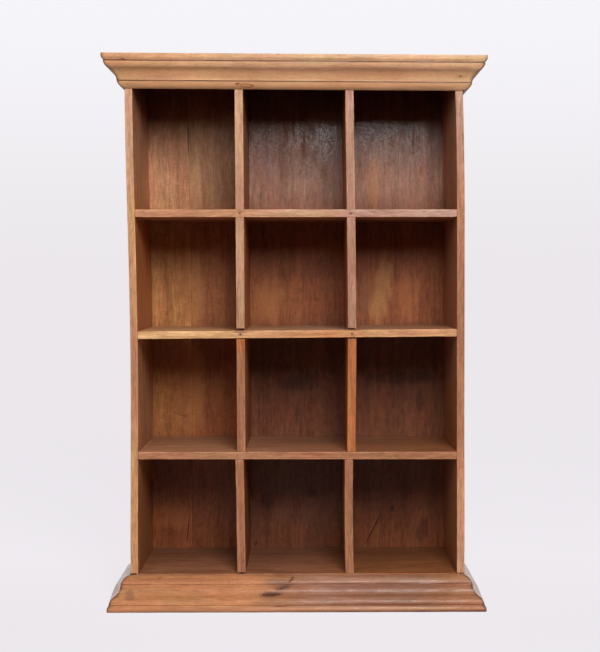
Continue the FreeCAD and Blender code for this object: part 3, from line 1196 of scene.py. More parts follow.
@dataclass(frozen=True)
class MouldingSection:
    """Section of cornice and plinth, from the wide edge to the narrow edge, in millimetres."""

    fascia_height: float = 6.3
    bevel_height: float = 4.2
    bevel_step: float = 3.0
    quirk_height: float = 0.9
    quirk_depth: float = 0.9
    round_height: float = 10.9
    round_step: float = 7.0
    hollow_height: float = 17.8
    hollow_step: float = 9.7
    nose_height: float = 11.5
    nose_step: float = 11.8
    edge_step: float = 1.0
    curve_sag: float = 0.14
    worn_radius: float = 0.9

    FLAT_STEP = 6.0
    FLAT_WEAR = 0.15
    ARC_STEPS = 9

    @property
    def height(self) -> float:
        """Height of the moulding."""
        return (
            self.fascia_height + self.bevel_height + 2 * self.quirk_height
            + self.round_height + self.hollow_height + self.nose_height
        )

    @property
    def projection(self) -> float:
        """How far the wide edge stands out."""
        return self.bevel_step + self.round_step + self.hollow_step + self.nose_step + self.edge_step

    def outline(self) -> list[SectionPoint]:
        """Points of the section, round from its inner corner at the wide edge.

        Returns:
            The points.
        """
        fascia_foot = (self.projection, self.fascia_height)
        bevel_foot = (fascia_foot[0] - self.bevel_step, fascia_foot[1] + self.bevel_height)
        quirk_foot = (bevel_foot[0] - self.quirk_depth, bevel_foot[1] + self.quirk_height)
        round_top = (bevel_foot[0], quirk_foot[1])
        round_foot = (round_top[0] - self.round_step, round_top[1] + self.round_height)
        hollow_foot = (round_foot[0] - self.hollow_step, round_foot[1] + self.hollow_height)
        second_foot = (hollow_foot[0] - self.quirk_depth, hollow_foot[1] + self.quirk_height)
        nose_top = (hollow_foot[0], second_foot[1])
        nose_foot = (self.edge_step, self.height)
        points = [SectionPoint(0.0, 0.0)]
        points += self._flat((0.0, 0.0), (self.projection, 0.0))
        points += self._worn_corner((self.projection, 0.0), (-1, 0), (0, 1))
        points += self._flat((self.projection, 0.0), fascia_foot)
        bevel = math.dist(fascia_foot, bevel_foot)
        down_bevel = (-self.bevel_step / bevel, self.bevel_height / bevel)
        points += self._worn_corner(fascia_foot, (0, -1), down_bevel)
        points += self._flat(fascia_foot, bevel_foot)
        points += self._quirk(bevel_foot, quirk_foot, round_top)
        points += self._curve(round_top, round_foot, self.curve_sag, 0.5)
        points += [SectionPoint(*round_foot, 0.2)]
        points += self._curve(round_foot, hollow_foot, -self.curve_sag, 0.1)
        points += self._quirk(hollow_foot, second_foot, nose_top)
        points += self._curve(nose_top, nose_foot, self.curve_sag, 0.4)
        points += [SectionPoint(*nose_foot, 0.5), SectionPoint(0.0, self.height)]
        return points + self._flat((0.0, self.height), (0.0, 0.0))

    @staticmethod
    def _quirk(before: Pair, foot: Pair, after: Pair) -> list[SectionPoint]:
        """Points of a small square groove, with soiling and painted shade inside and on its lips.

        Args:
            before: Lip on the side of the wide edge.
            foot: Inner corner.
            after: Lip on the side of the narrow edge.

        Returns:
            Its points.
        """
        return [
            SectionPoint(before[0] + 0.05, before[1] - 0.35, 0.6),
            SectionPoint(*before, 0.3, True),
            SectionPoint(foot[0], before[1], 0.0, True),
            SectionPoint(*foot, 0.0, True),
            SectionPoint(*after, 0.3, True),
            SectionPoint(after[0] - 0.1, after[1] + 0.5, 0.8),
        ]

    def _flat(self, start: Pair, end: Pair) -> list[SectionPoint]:
        """Points between the ends of a flat member.

        Args:
            start: First end.
            end: Second end.

        Returns:
            The inner points, without the ends.
        """
        count = max(round(math.dist(start, end) / self.FLAT_STEP), 2)
        shares = [index / count for index in range(1, count)]
        return [
            SectionPoint(*(start[k] + (end[k] - start[k]) * share for k in (0, 1)), self.FLAT_WEAR)
            for share in shares
        ]

    def _worn_corner(self, corner: Pair, before: Pair, after: Pair) -> list[SectionPoint]:
        """Rounded corner.

        Args:
            corner: The sharp corner.
            before: Direction from it back along the member before.
            after: Direction from it along the member after.

        Returns:
            Points of the rounding.
        """
        start, end = ([corner[k] + self.worn_radius * way[k] for k in (0, 1)] for way in (before, after))
        points = []
        for t in (0.0, 0.25, 0.5, 0.75, 1.0):
            weights = ((1 - t) ** 2, 2 * t * (1 - t), t * t)
            bent = (weights[0] * start[k] + weights[1] * corner[k] + weights[2] * end[k] for k in (0, 1))
            points.append(SectionPoint(*bent, 1.0))
        return points

    def _curve(self, start: Pair, end: Pair, bulge: float, worn: float) -> list[SectionPoint]:
        """Points on an arc, without its ends.

        Args:
            start: First end.
            end: Second end.
            bulge: Height of the arc over its chord, as a share of the chord. Positive swells outward.
            worn: Share of wear.

        Returns:
            The inner points.
        """
        chord = math.dist(start, end)
        sag = abs(bulge) * chord
        radius = (chord * chord / 4 + sag * sag) / (2 * sag)
        half_angle = math.asin(chord / 2 / radius)
        along = ((end[0] - start[0]) / chord, (end[1] - start[1]) / chord)
        outward = (along[1], -along[0])
        points = []
        for index in range(1, self.ARC_STEPS):
            angle = half_angle * (2 * index / self.ARC_STEPS - 1)
            travel = chord / 2 + radius * math.sin(angle)
            rise = math.copysign(radius * math.cos(angle) - (radius - sag), bulge)
            bent = (start[k] + along[k] * travel + outward[k] * rise for k in (0, 1))
            points.append(SectionPoint(*bent, worn))
        return points


class Side(Enum):
    """Which stretch of a moulding ring a piece is: its sign across the unit."""

    LEFT = -1
    FRONT = 0
    RIGHT = 1


@dataclass
class Moulding:
    """One length of moulding, mitred at the front corners.

    Attributes:
        name: Name of the piece.
        side: Which stretch of the ring it is.
        direction: -1 with the wide edge on top and 1 with it on the floor.
        wide_left: Height of the wide edge at the left end of the ring in metres.
        wide_right: Height of the wide edge at the right end of the ring in metres.
        half_width: Half width of the carcase that it wraps, in metres.
        front: Place of the front of the carcase in metres.
        back: Place of the rear ends of the side pieces in metres.
        seed: Number that makes this piece differ from the others.
        quirk_grime: Share of soiling and painted shade in the quirks.
        flare: How much fuller the section is at the rear end of a side piece, in millimetres.
        foot_grime: Height of the painted contact shadow and soiling along the wide edge at the right end, in
            millimetres.
        section: Its section.
    """

    name: str
    side: Side
    direction: int
    wide_left: float
    wide_right: float
    half_width: float
    front: float
    back: float
    seed: float
    quirk_grime: float = 1.0
    flare: float = 0.0
    foot_grime: float = 0.0
    section: MouldingSection = MouldingSection()

    STATION_STEP = 9 * MM
    STATION_GAP = 0.25 * MM
    WEAR_DEPTH = 0.28
    WEAR_LIMIT = 1.6
    WAVES = (22, 0.15)
    WAVE_SHARE = 0.9
    FINE_WAVES = (130, 0.5)
    FINE_SHARE = 0.5
    FINE_STEP = 9
    FLARE_RUN = 0.4
    MITRE_GAP = 0.3
    MITRE_GRIME = 5.0
    MITRE_LIP = 0.4
    GRIME_WAVES = 160
    GRIME_SWING = 0.6
    FOOT_SHADOW_AND_SOILING_PLACES = (-0.28, -0.1, 0.05, 0.28)
    FOOT_SHADOW_AND_SOILING_SHARES = (0.5, 0.3, 0.8, 1.0)
    FOOT_SHADOW_AND_SOILING_TOP = 1.6
    SHARP_DEGREES = 30.0

    def build(self) -> bpy.types.Object:
        """Makes the length of moulding.

        Returns:
            The moulding as an object.
        """
        outline = self.section.outline()
        normals = self._normals(outline)
        reach = self.section.projection * MM
        length = 2 * (self.half_width + reach) if self.side is Side.FRONT else self.back - self.front + reach
        shares = self._shares(length)
        rings = []
        for share in shares:
            place = (share - 0.5) * length
            worn = (self._worn(point, normal, place) for point, normal in zip(outline, normals))
            rings.append([self._place(share, out, down) for out, down in worn])
        piece = make_object(self.name, *loft(np.array(rings)))
        store(piece.data, "edge", np.tile([point.worn for point in outline], len(shares)))
        store(piece.data, "grime", self._grime(points_of(piece.data), outline))
        finish_mesh(piece, self.SHARP_DEGREES)
        return piece

    def _grime(self, points: np.ndarray, outline: Sequence[SectionPoint]) -> np.ndarray:
        """Soiling and painted shade in the quirks, soiling along the mitres, and painted contact shadow with
        soiling along the foot.

        Args:
            points: Points of the moulding, ring by ring.
            outline: Its section.

        Returns:
            Share of soiling and painted shade at each point.
        """
        count = len(points) // len(outline)
        # Soiling and painted shade in the quirks.
        quirks = np.tile([self.quirk_grime * point.soiled_and_shaded for point in outline], count)
        out = self.front - points[:, 1]
        beside = np.abs(points[:, 0]) - self.half_width
        away = out - beside if self.side is Side.FRONT else beside - out
        heights = points[:, 2] * self.GRIME_WAVES + self.seed
        wave = np.array([noise.noise(Vector((0.0, 0.0, height))) for height in heights])
        width = self.MITRE_GRIME * (1 + self.GRIME_SWING * wave)
        mitre = np.clip(1 - (away / MM - self.MITRE_LIP) / width, 0, 1)
        shares = np.maximum(quirks, mitre)
        # Painted contact shadow, with some soiling, along the foot of the plinth, strongest at the right end.
        if self.foot_grime:
            down = np.tile([point.down for point in outline], count)
            reach = self.foot_grime * np.interp(points[:, 0], self.FOOT_SHADOW_AND_SOILING_PLACES, self.FOOT_SHADOW_AND_SOILING_SHARES)
            foot = np.clip(self.FOOT_SHADOW_AND_SOILING_TOP - down / reach, 0, 1) * (out > 0.5 * down * MM)
            shares = np.maximum(shares, foot)
        return shares

    def _shares(self, length: float) -> list[float]:
        """Stations along the length, closer together at the mitres.

        Args:
            length: Length of the moulding in metres.

        Returns:
            Their places, from 0 to 1.
        """
        count = round(length / self.STATION_STEP)
        shares = {index / count for index in range(count + 1)}
        for step in (0.5, 0.5 * self.MITRE_GRIME, self.MITRE_GRIME):
            shares |= {step * MM / length, 1 - step * MM / length}
        kept = [0.0]
        for share in sorted(shares):
            if (share - kept[-1]) * length > self.STATION_GAP:
                kept.append(share)
        return kept

    @staticmethod
    def _normals(outline: Sequence[SectionPoint]) -> list[tuple[float, float]]:
        """Outward direction at each point of the section.

        Args:
            outline: The section.

        Returns:
            Out and down of each direction.
        """
        normals = []
        for before, after in zip(outline[-1:] + outline[:-1], outline[1:] + outline[:1]):
            out, down = after.out - before.out, after.down - before.down
            size = math.hypot(out, down)
            normals.append((down / size, -out / size))
        return normals

    def _worn(self, point: SectionPoint, normal: Pair, place: float) -> tuple[float, float]:
        """Point of the section after wear, in metres.

        Args:
            point: The point before.
            normal: Outward direction of the section there.
            place: Place along the moulding in metres.

        Returns:
            Out and down in metres.
        """
        wave, fine = (
            noise.noise(Vector((place * along, point.down * across, seed)))
            for (along, across), seed in (
                (self.WAVES, self.seed), (self.FINE_WAVES, self.seed + self.FINE_STEP),
            )
        )
        swing = 0.5 + self.WAVE_SHARE * wave + self.FINE_SHARE * fine
        depth = point.worn * self.WEAR_DEPTH * min(max(swing, 0.0), self.WEAR_LIMIT)
        return (point.out - normal[0] * depth) * MM, (point.down - normal[1] * depth) * MM

    def _place(self, share: float, out: float, down: float) -> list[float]:
        """Where a point of the section lies in the unit.

        Args:
            share: Place along the moulding, from 0 to 1.
            out: Distance out from the carcase in metres.
            down: Distance from the wide edge in metres.

        Returns:
            X, Y and Z in metres.
        """
        gap = self.MITRE_GAP * MM / 2
        full = self.half_width + self.section.projection * MM
        if self.side is Side.FRONT:
            x = slope_x = (self.half_width + out - gap) * (2 * share - 1)
            y = self.front - out
        else:
            x = self.side.value * (self.half_width + out)
            start = self.front - out + gap
            y = start + (self.back - start) * share
            swell = math.sin(math.pi * min(down / (self.section.height * MM), 1.0))
            fuller = self.flare * MM * min(share / self.FLARE_RUN, 1.0) * swell
            if out > self.section.edge_step / 2 * MM:
                x = self.side.value * (self.half_width + min(out + fuller, full - self.half_width))
            slope_x = self.side.value * (full + self.half_width) / 2
        wide = self.wide_left + (self.wide_right - self.wide_left) * (slope_x + full) / (2 * full)
        return [x, y, wide + self.direction * down]


@dataclass
class Nails:
    """All nails of one construction node, as hand-headed nails driven nearly flush.

    Attributes:
        name: Name of the piece.
        node: Construction node that holds the plain nails.
        seed: Number that makes the heads differ.
        settling: Movement of the boards that hold them.
    """

    name: str
    node: str
    seed: int
    settling: Settling

    SIDES = 12
    SHARP_DEGREES = 38.0
    LEAN = 0.02 * MM
    LUMPS = (-0.09, 0.04)
    HEAD = ((0.6, 0.92), (0.2, 1.0), (0.03, 0.96), (0.01, 0.7), (0.0, 0.35))
    SHANK = (4 * MM, 0.75 * MM)
    POINT = 3 * MM
    POINT_SHARES = (0.15, 0.8)

    def build(self) -> bpy.types.Object:
        """Makes the nails as one object.

        Returns:
            The nails.
        """
        chance = random.Random(self.seed)
        points: list[np.ndarray] = []
        faces: list[list[int]] = []
        total = 0
        for solid in self._solids():
            rings = self._nail(solid, chance)
            start = rings[-1].mean(axis=0)
            nail_points, nail_faces = loft(rings + (self.settling.move(start[None, :])[0] - start))
            faces += [[total + index for index in face] for face in nail_faces]
            points.append(nail_points)
            total += len(nail_points)
        piece = make_object(self.name, np.concatenate(points), faces)
        finish_mesh(piece, self.SHARP_DEGREES)
        return piece

    def _solids(self) -> list[np.ndarray]:
        """Points of each separate nail in the construction node, in order of place.

        Returns:
            One array for each nail.
        """
        work = bmesh.new()
        work.from_mesh(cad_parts[self.node].data)
        bmesh.ops.remove_doubles(work, verts=work.verts, dist=1e-6)
        left = set(work.verts)
        solids = []
        while left:
            group, queue = [], [left.pop()]
            while queue:
                vert = queue.pop()
                group.append(vert.co[:])
                linked = {edge.other_vert(vert) for edge in vert.link_edges} & left
                left -= linked
                queue.extend(linked)
            solids.append(np.array(group))
        work.free()
        return sorted(solids, key=lambda solid: tuple(np.round(solid.mean(axis=0), 5)))

    def _nail(self, solid: np.ndarray, chance: random.Random) -> np.ndarray:
        """Rings of one nail, from its point to the top of its head.

        Args:
            solid: Points of the plain nail.
            chance: Source of chance.

        Returns:
            Points by ring, by side and by axis.
        """
        low, high = solid.min(axis=0), solid.max(axis=0)
        axis = int(np.argmax(high - low))
        first, second = [index for index in range(3) if index != axis]
        middle = (low + high) / 2
        radial = np.hypot(solid[:, first] - middle[first], solid[:, second] - middle[second])
        head = radial.max()
        shank = radial[np.abs(solid[:, axis] - middle[axis]) > 0.45 * (high - low)[axis]].min()
        wide_at = solid[np.argmax(radial), axis]
        top, tip = (high[axis], low[axis]) if wide_at > middle[axis] else (low[axis], high[axis])
        into = math.copysign(1, tip - top)
        length = abs(tip - top)
        lean = [chance.uniform(-self.LEAN, self.LEAN) for _ in range(2)]
        lumps = [1 + chance.uniform(*self.LUMPS) for _ in range(self.SIDES)]
        profile = [
            *zip((length, length - self.POINT), (share * shank for share in self.POINT_SHARES)),
            *((depth, shank) for depth in self.SHANK),
            *((depth * MM, share * head) for depth, share in self.HEAD),
        ]
        rings = []
        for depth, radius in profile:
            ring = []
            for side in range(self.SIDES):
                angle = 2 * math.pi * side / self.SIDES
                lump = lumps[side] if radius > 1.2 * shank else 1.0
                point = [0.0, 0.0, 0.0]
                point[first] = middle[first] + radius * lump * math.cos(angle)
                point[second] = middle[second] + radius * lump * math.sin(angle)
                tilt = lean[0] * math.cos(angle) + lean[1] * math.sin(angle) if depth < 0.5 * MM else 0.0
                point[axis] = top + into * max(depth + tilt * radius / head, 0.0)
                ring.append(point)
            rings.append(ring)
        return np.array(rings)


# ---- Sub-assemblies ---------------------------------------------------------------------------------------


LAP_DEPTH = 25.0 * MM
CUT_MARGIN = 5.0 * MM


@dataclass(frozen=True)
class BoardLook:
    """Looks of one board.

    Attributes:
        node: Its construction node.
        seed: Number that makes it differ from the others, in shape and in finish.
        tones: Tones of its front edge, along the grain.
        faces: Tones of its other faces.
        marks: Marks in the faces that look forward.
    """

    node: str
    seed: float
    tones: Tones
    faces: Tones
    marks: tuple[Mark, ...] = ()

    def board(self, grain: Axis, **shape: object) -> Board:
        """Square board that fills the box of the node. Shape holds other fields of the board."""
        return Board(f"{self.node}_worn", *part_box(self.node), grain, self.seed, **shape)

    def fit(self, board: Board, settling: Settling, slot: str, **finish: object) -> None:
        """Builds a board with these looks and lets it stand for its node.

        Args:
            board: Its shape.
            settling: Movement of the carcase.
            slot: Material slot of the record; not used.
            finish: Other fields of the finish.
        """
        wood = WoodFinish(
            f"{self.node} wood", board.grain, self.tones, self.seed, self.faces, self.marks, **finish
        )
        dress(board.build(settling), wood.build(), self.node)


@dataclass
class Carcase:
    """Two sides, the base board and the top board."""

    settling: Settling

    LEFT = BoardLook(
        "side_panel_left", 11.0,
        tones=(
            (40, Tone.AMBER), (230, Tone.HONEY), (300, Tone.CLAY), (430, Tone.CLAY), (520, Tone.WHEAT),
            (650, Tone.WHEAT), (720, Tone.FAWN), (860, Tone.FAWN),
        ),
        # The umber stop at 850 mm paints shade at the top of the upper row.
        faces=(
            (60, Tone.TAN), (200, Tone.TAN), (280, Tone.CLAY), (420, Tone.SIENNA), (480, Tone.COPPER),
            (620, Tone.COPPER), (680, Tone.GINGER), (800, Tone.CLAY), (850, Tone.UMBER),
        ),
        # Painted shadow line at the foot of the left stile, where it sits on the base board.
        marks=(Mark(-263.6, 54.4, 9, 1.7, 0, 0.95),),
    )
    RIGHT = BoardLook(
        "side_panel_right", 12.0,
        tones=(
            (40, Tone.FAWN), (200, Tone.CLAY), (330, Tone.SIENNA), (560, Tone.SIENNA), (660, Tone.CLAY),
            (760, Tone.ROSE), (860, Tone.FAWN),
        ),
        # The umber stop at 850 mm paints shade at the top of the upper row.
        faces=(
            (60, Tone.TAN), (200, Tone.SIENNA), (280, Tone.TAN), (420, Tone.SIENNA), (480, Tone.SIENNA),
            (640, Tone.SIENNA), (780, Tone.CLAY), (850, Tone.UMBER),
        ),
        marks=(
            # Painted shadow line at the foot of the right stile, where it sits on the base board.
            Mark(264.2, 54.4, 9, 1.6, 0, 0.9, Tone.COCOA),
            Mark(256.5, 806, 26, 3.4, 90, 0.6, Tone.MAUVE, 0.8, 0.0),
            Mark(262, 790, 6, 4, 0, 0.35, Tone.MAUVE, 1.2, 0.0),
        ),
    )
    LEVEL_TONES = ((-260, Tone.SIENNA), (0, Tone.SIENNA), (130, Tone.TAN), (260, Tone.TAN))
    BASE = BoardLook("base_board", 13.0, LEVEL_TONES, LEVEL_TONES)
    TOP = BoardLook("top_board", 14.0, LEVEL_TONES, LEVEL_TONES)

    def build(self) -> None:
        """Builds and dresses the four boards."""
        for look in (self.LEFT, self.RIGHT):
            look.fit(look.board(Axis.Z), self.settling, "side_wood")
        for look in (self.BASE, self.TOP):
            board = look.board(Axis.X)
            look.fit(board, self.settling, "base_and_top_wood", patina=Tone.RUSSET, inner_dirt=0.5)


@dataclass
class Shelves:
    """The three shelves, slotted from behind for the tall dividers."""

    settling: Settling
    middle_rise: float = 3.0 * MM

    UPPER = BoardLook(
        "shelf_upper", 21.0,
        tones=(
            (-250, Tone.CLAY), (-110, Tone.CLAY), (-40, Tone.FAWN), (60, Tone.FAWN), (110, Tone.BLUSH),
            (250, Tone.BLUSH),
        ),
        faces=((-250, Tone.SIENNA), (250, Tone.TAN)),
        marks=(
            Mark(-87, 637, 5, 3.2, 0, 0.4, Tone.RUSSET, core=0.0),
            Mark(89, 634.7, 6, 4.0, 0, 0.4, Tone.RUSSET, core=0.0),
            Mark(130, 641.5, 90, 1.3, 0, 0.5, Tone.FAWN, 0.5),
            Mark(-20, 631.5, 90, 1.2, 0, 0.45, Tone.CHESTNUT, 0.9),
        ),
    )
    MIDDLE = BoardLook(
        "shelf_middle", 22.0,
        tones=(
            (-250, Tone.STRAW), (-120, Tone.STRAW), (-40, Tone.HONEY), (60, Tone.GINGER), (140, Tone.HONEY),
            (250, Tone.HONEY),
        ),
        faces=((-250, Tone.STRAW), (-100, Tone.HONEY), (40, Tone.FAWN), (250, Tone.CLAY)),
        marks=(
            Mark(-88.7, 445.6, 15, 2.2, 0, 0.6, Tone.RUSSET),
            Mark(-88.7, 441.5, 5, 3.4, 0, 0.5, Tone.MAUVE, core=0.0),
            Mark(92, 447.8, 16, 1.6, 0, 0.55, Tone.RUSSET),
            Mark(92.4, 438.5, 5, 3.0, 0, 0.4, Tone.MAUVE, core=0.0),
            Mark(20, 441, 60, 1.6, 1, 0.5, Tone.COPPER, 0.9),
            Mark(-180, 438, 70, 1.4, -1, 0.35, Tone.CLAY, 0.9),
            Mark(190, 441, 60, 1.6, 1, 0.4, Tone.SIENNA, 0.9),
        ),
    )
    LOWER = BoardLook(
        "shelf_lower", 23.0,
        tones=((-250, Tone.CLAY), (-130, Tone.CLAY), (-20, Tone.SIENNA), (250, Tone.SIENNA)),
        faces=((-250, Tone.CLAY), (-100, Tone.CLAY), (0, Tone.SIENNA), (250, Tone.TAN)),
        marks=(
            Mark(-93.6, 246.3, 3.5, 2.2, 0, 0.45, Tone.RUSSET, core=0.0),
            Mark(88.1, 245.4, 3.5, 2.2, 0, 0.45, Tone.RUSSET, core=0.0),
            Mark(30, 243, 90, 1.3, 0, 0.3, Tone.RUSSET, 0.9),
        ),
    )

    def build(self) -> None:
        """Builds and dresses the shelves."""
        tall = ("divider_tall_left", "divider_tall_right")
        self._shelf(self.UPPER, 0.0, tall)
        self._shelf(self.MIDDLE, self.middle_rise, tall)
        self._shelf(self.LOWER, 0.0, ())

    def _shelf(self, look: BoardLook, rise: float, dividers: Sequence[str]) -> None:
        """One shelf.

        Args:
            look: Its looks.
            rise: How much it climbs from left to right, in metres.
            dividers: Construction nodes of the dividers that it is slotted for.
        """
        board = look.board(Axis.X, skew=Vector((0, 0, rise)))
        board.low.z += rise / 2
        board.high.z -= rise / 2
        board.cuts = tuple(self._slot(board, node) for node in dividers)
        look.fit(board, self.settling, "shelf_wood", rubbed=0.3, inner_dirt=0.35)

    @staticmethod
    def _slot(board: Board, divider: str) -> tuple[Vector, Vector]:
        """Slot for one divider, from behind as far as the uncut strip in front.

        Args:
            board: The shelf.
            divider: Construction node of the divider.

        Returns:
            Lowest and highest corners of the slot.
        """
        left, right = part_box(divider)
        return (
            Vector((left.x, board.low.y + LAP_DEPTH, board.low.z - CUT_MARGIN)),
            Vector((right.x, board.high.y + CUT_MARGIN, board.high.z + CUT_MARGIN)),
        )


@dataclass
class Dividers:
    """Two tall dividers of the upper rows and two short ones of the bottom row."""

    settling: Settling
    loose_notch: float = 1.8 * MM
    bottom_left_lean: float = -2.5 * MM

    # The umber stop at 850 mm paints shade at the top of the upper row.
    TALL_FACES = (
        (255, Tone.TAN), (440, Tone.COPPER), (640, Tone.COPPER), (780, Tone.TAN), (850, Tone.UMBER),
    )
    TALL_LEFT = BoardLook(
        "divider_tall_left", 31.0,
        tones=(
            (255, Tone.SIENNA), (400, Tone.SIENNA), (425, Tone.COPPER), (436, Tone.COPPER), (448, Tone.FAWN),
            (620, Tone.FAWN), (860, Tone.FAWN),
        ),
        faces=TALL_FACES,
    )
    TALL_RIGHT = BoardLook(
        "divider_tall_right", 32.0,
        tones=(
            (255, Tone.COPPER), (430, Tone.COPPER), (450, Tone.HAZEL), (700, Tone.HAZEL), (860, Tone.ROSE),
        ),
        faces=TALL_FACES,
    )
    BOTTOM_TONES = ((60, Tone.SIENNA), (240, Tone.SIENNA))
    BOTTOM_FACES = ((60, Tone.CHESTNUT), (240, Tone.CHESTNUT))
    # Painted shadow line at the foot of the bottom-left divider.
    FOOT_SHADOW_LINE = Mark(-87.5, 55.8, 9, 1.6, 0, 0.95)
    BOTTOM_LEFT = BoardLook("divider_bottom_left", 33.0, BOTTOM_TONES, BOTTOM_FACES, (FOOT_SHADOW_LINE,))
    BOTTOM_RIGHT = BoardLook("divider_bottom_right", 34.0, BOTTOM_TONES, BOTTOM_FACES)

    def build(self) -> None:
        """Builds and dresses the dividers."""
        self._tall(self.TALL_LEFT)
        self._tall(self.TALL_RIGHT)
        self._bottom(self.BOTTOM_LEFT, self.bottom_left_lean)
        self._bottom(self.BOTTOM_RIGHT, 0.0)

    def _tall(self, look: BoardLook) -> None:
        """One tall divider, notched over the front strips of two shelves.

        Args:
            look: Its looks.
        """
        board = look.board(Axis.Z)
        for shelf, loose in (("shelf_upper", 0.0), ("shelf_middle", self.loose_notch)):
            under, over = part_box(shelf)
            low = Vector((board.low.x - CUT_MARGIN, board.low.y - CUT_MARGIN, under.z))
            high = Vector((board.high.x + CUT_MARGIN, board.low.y + LAP_DEPTH, over.z + loose))
            board.cuts += ((low, high),)
        look.fit(board, self.settling, "divider_wood", inner_dirt=0.3)

    def _bottom(self, look: BoardLook, lean: float) -> None:
        """One divider of the bottom row.

        Args:
            look: Its looks.
            lean: How far its top stands to the right of its foot, in metres.
        """
        board = look.board(Axis.Z, skew=Vector((lean, 0, 0)))
        board.low.x += abs(lean) / 2
        board.high.x -= abs(lean) / 2
        look.fit(board, self.settling, "divider_wood", inner_dirt=0.3)


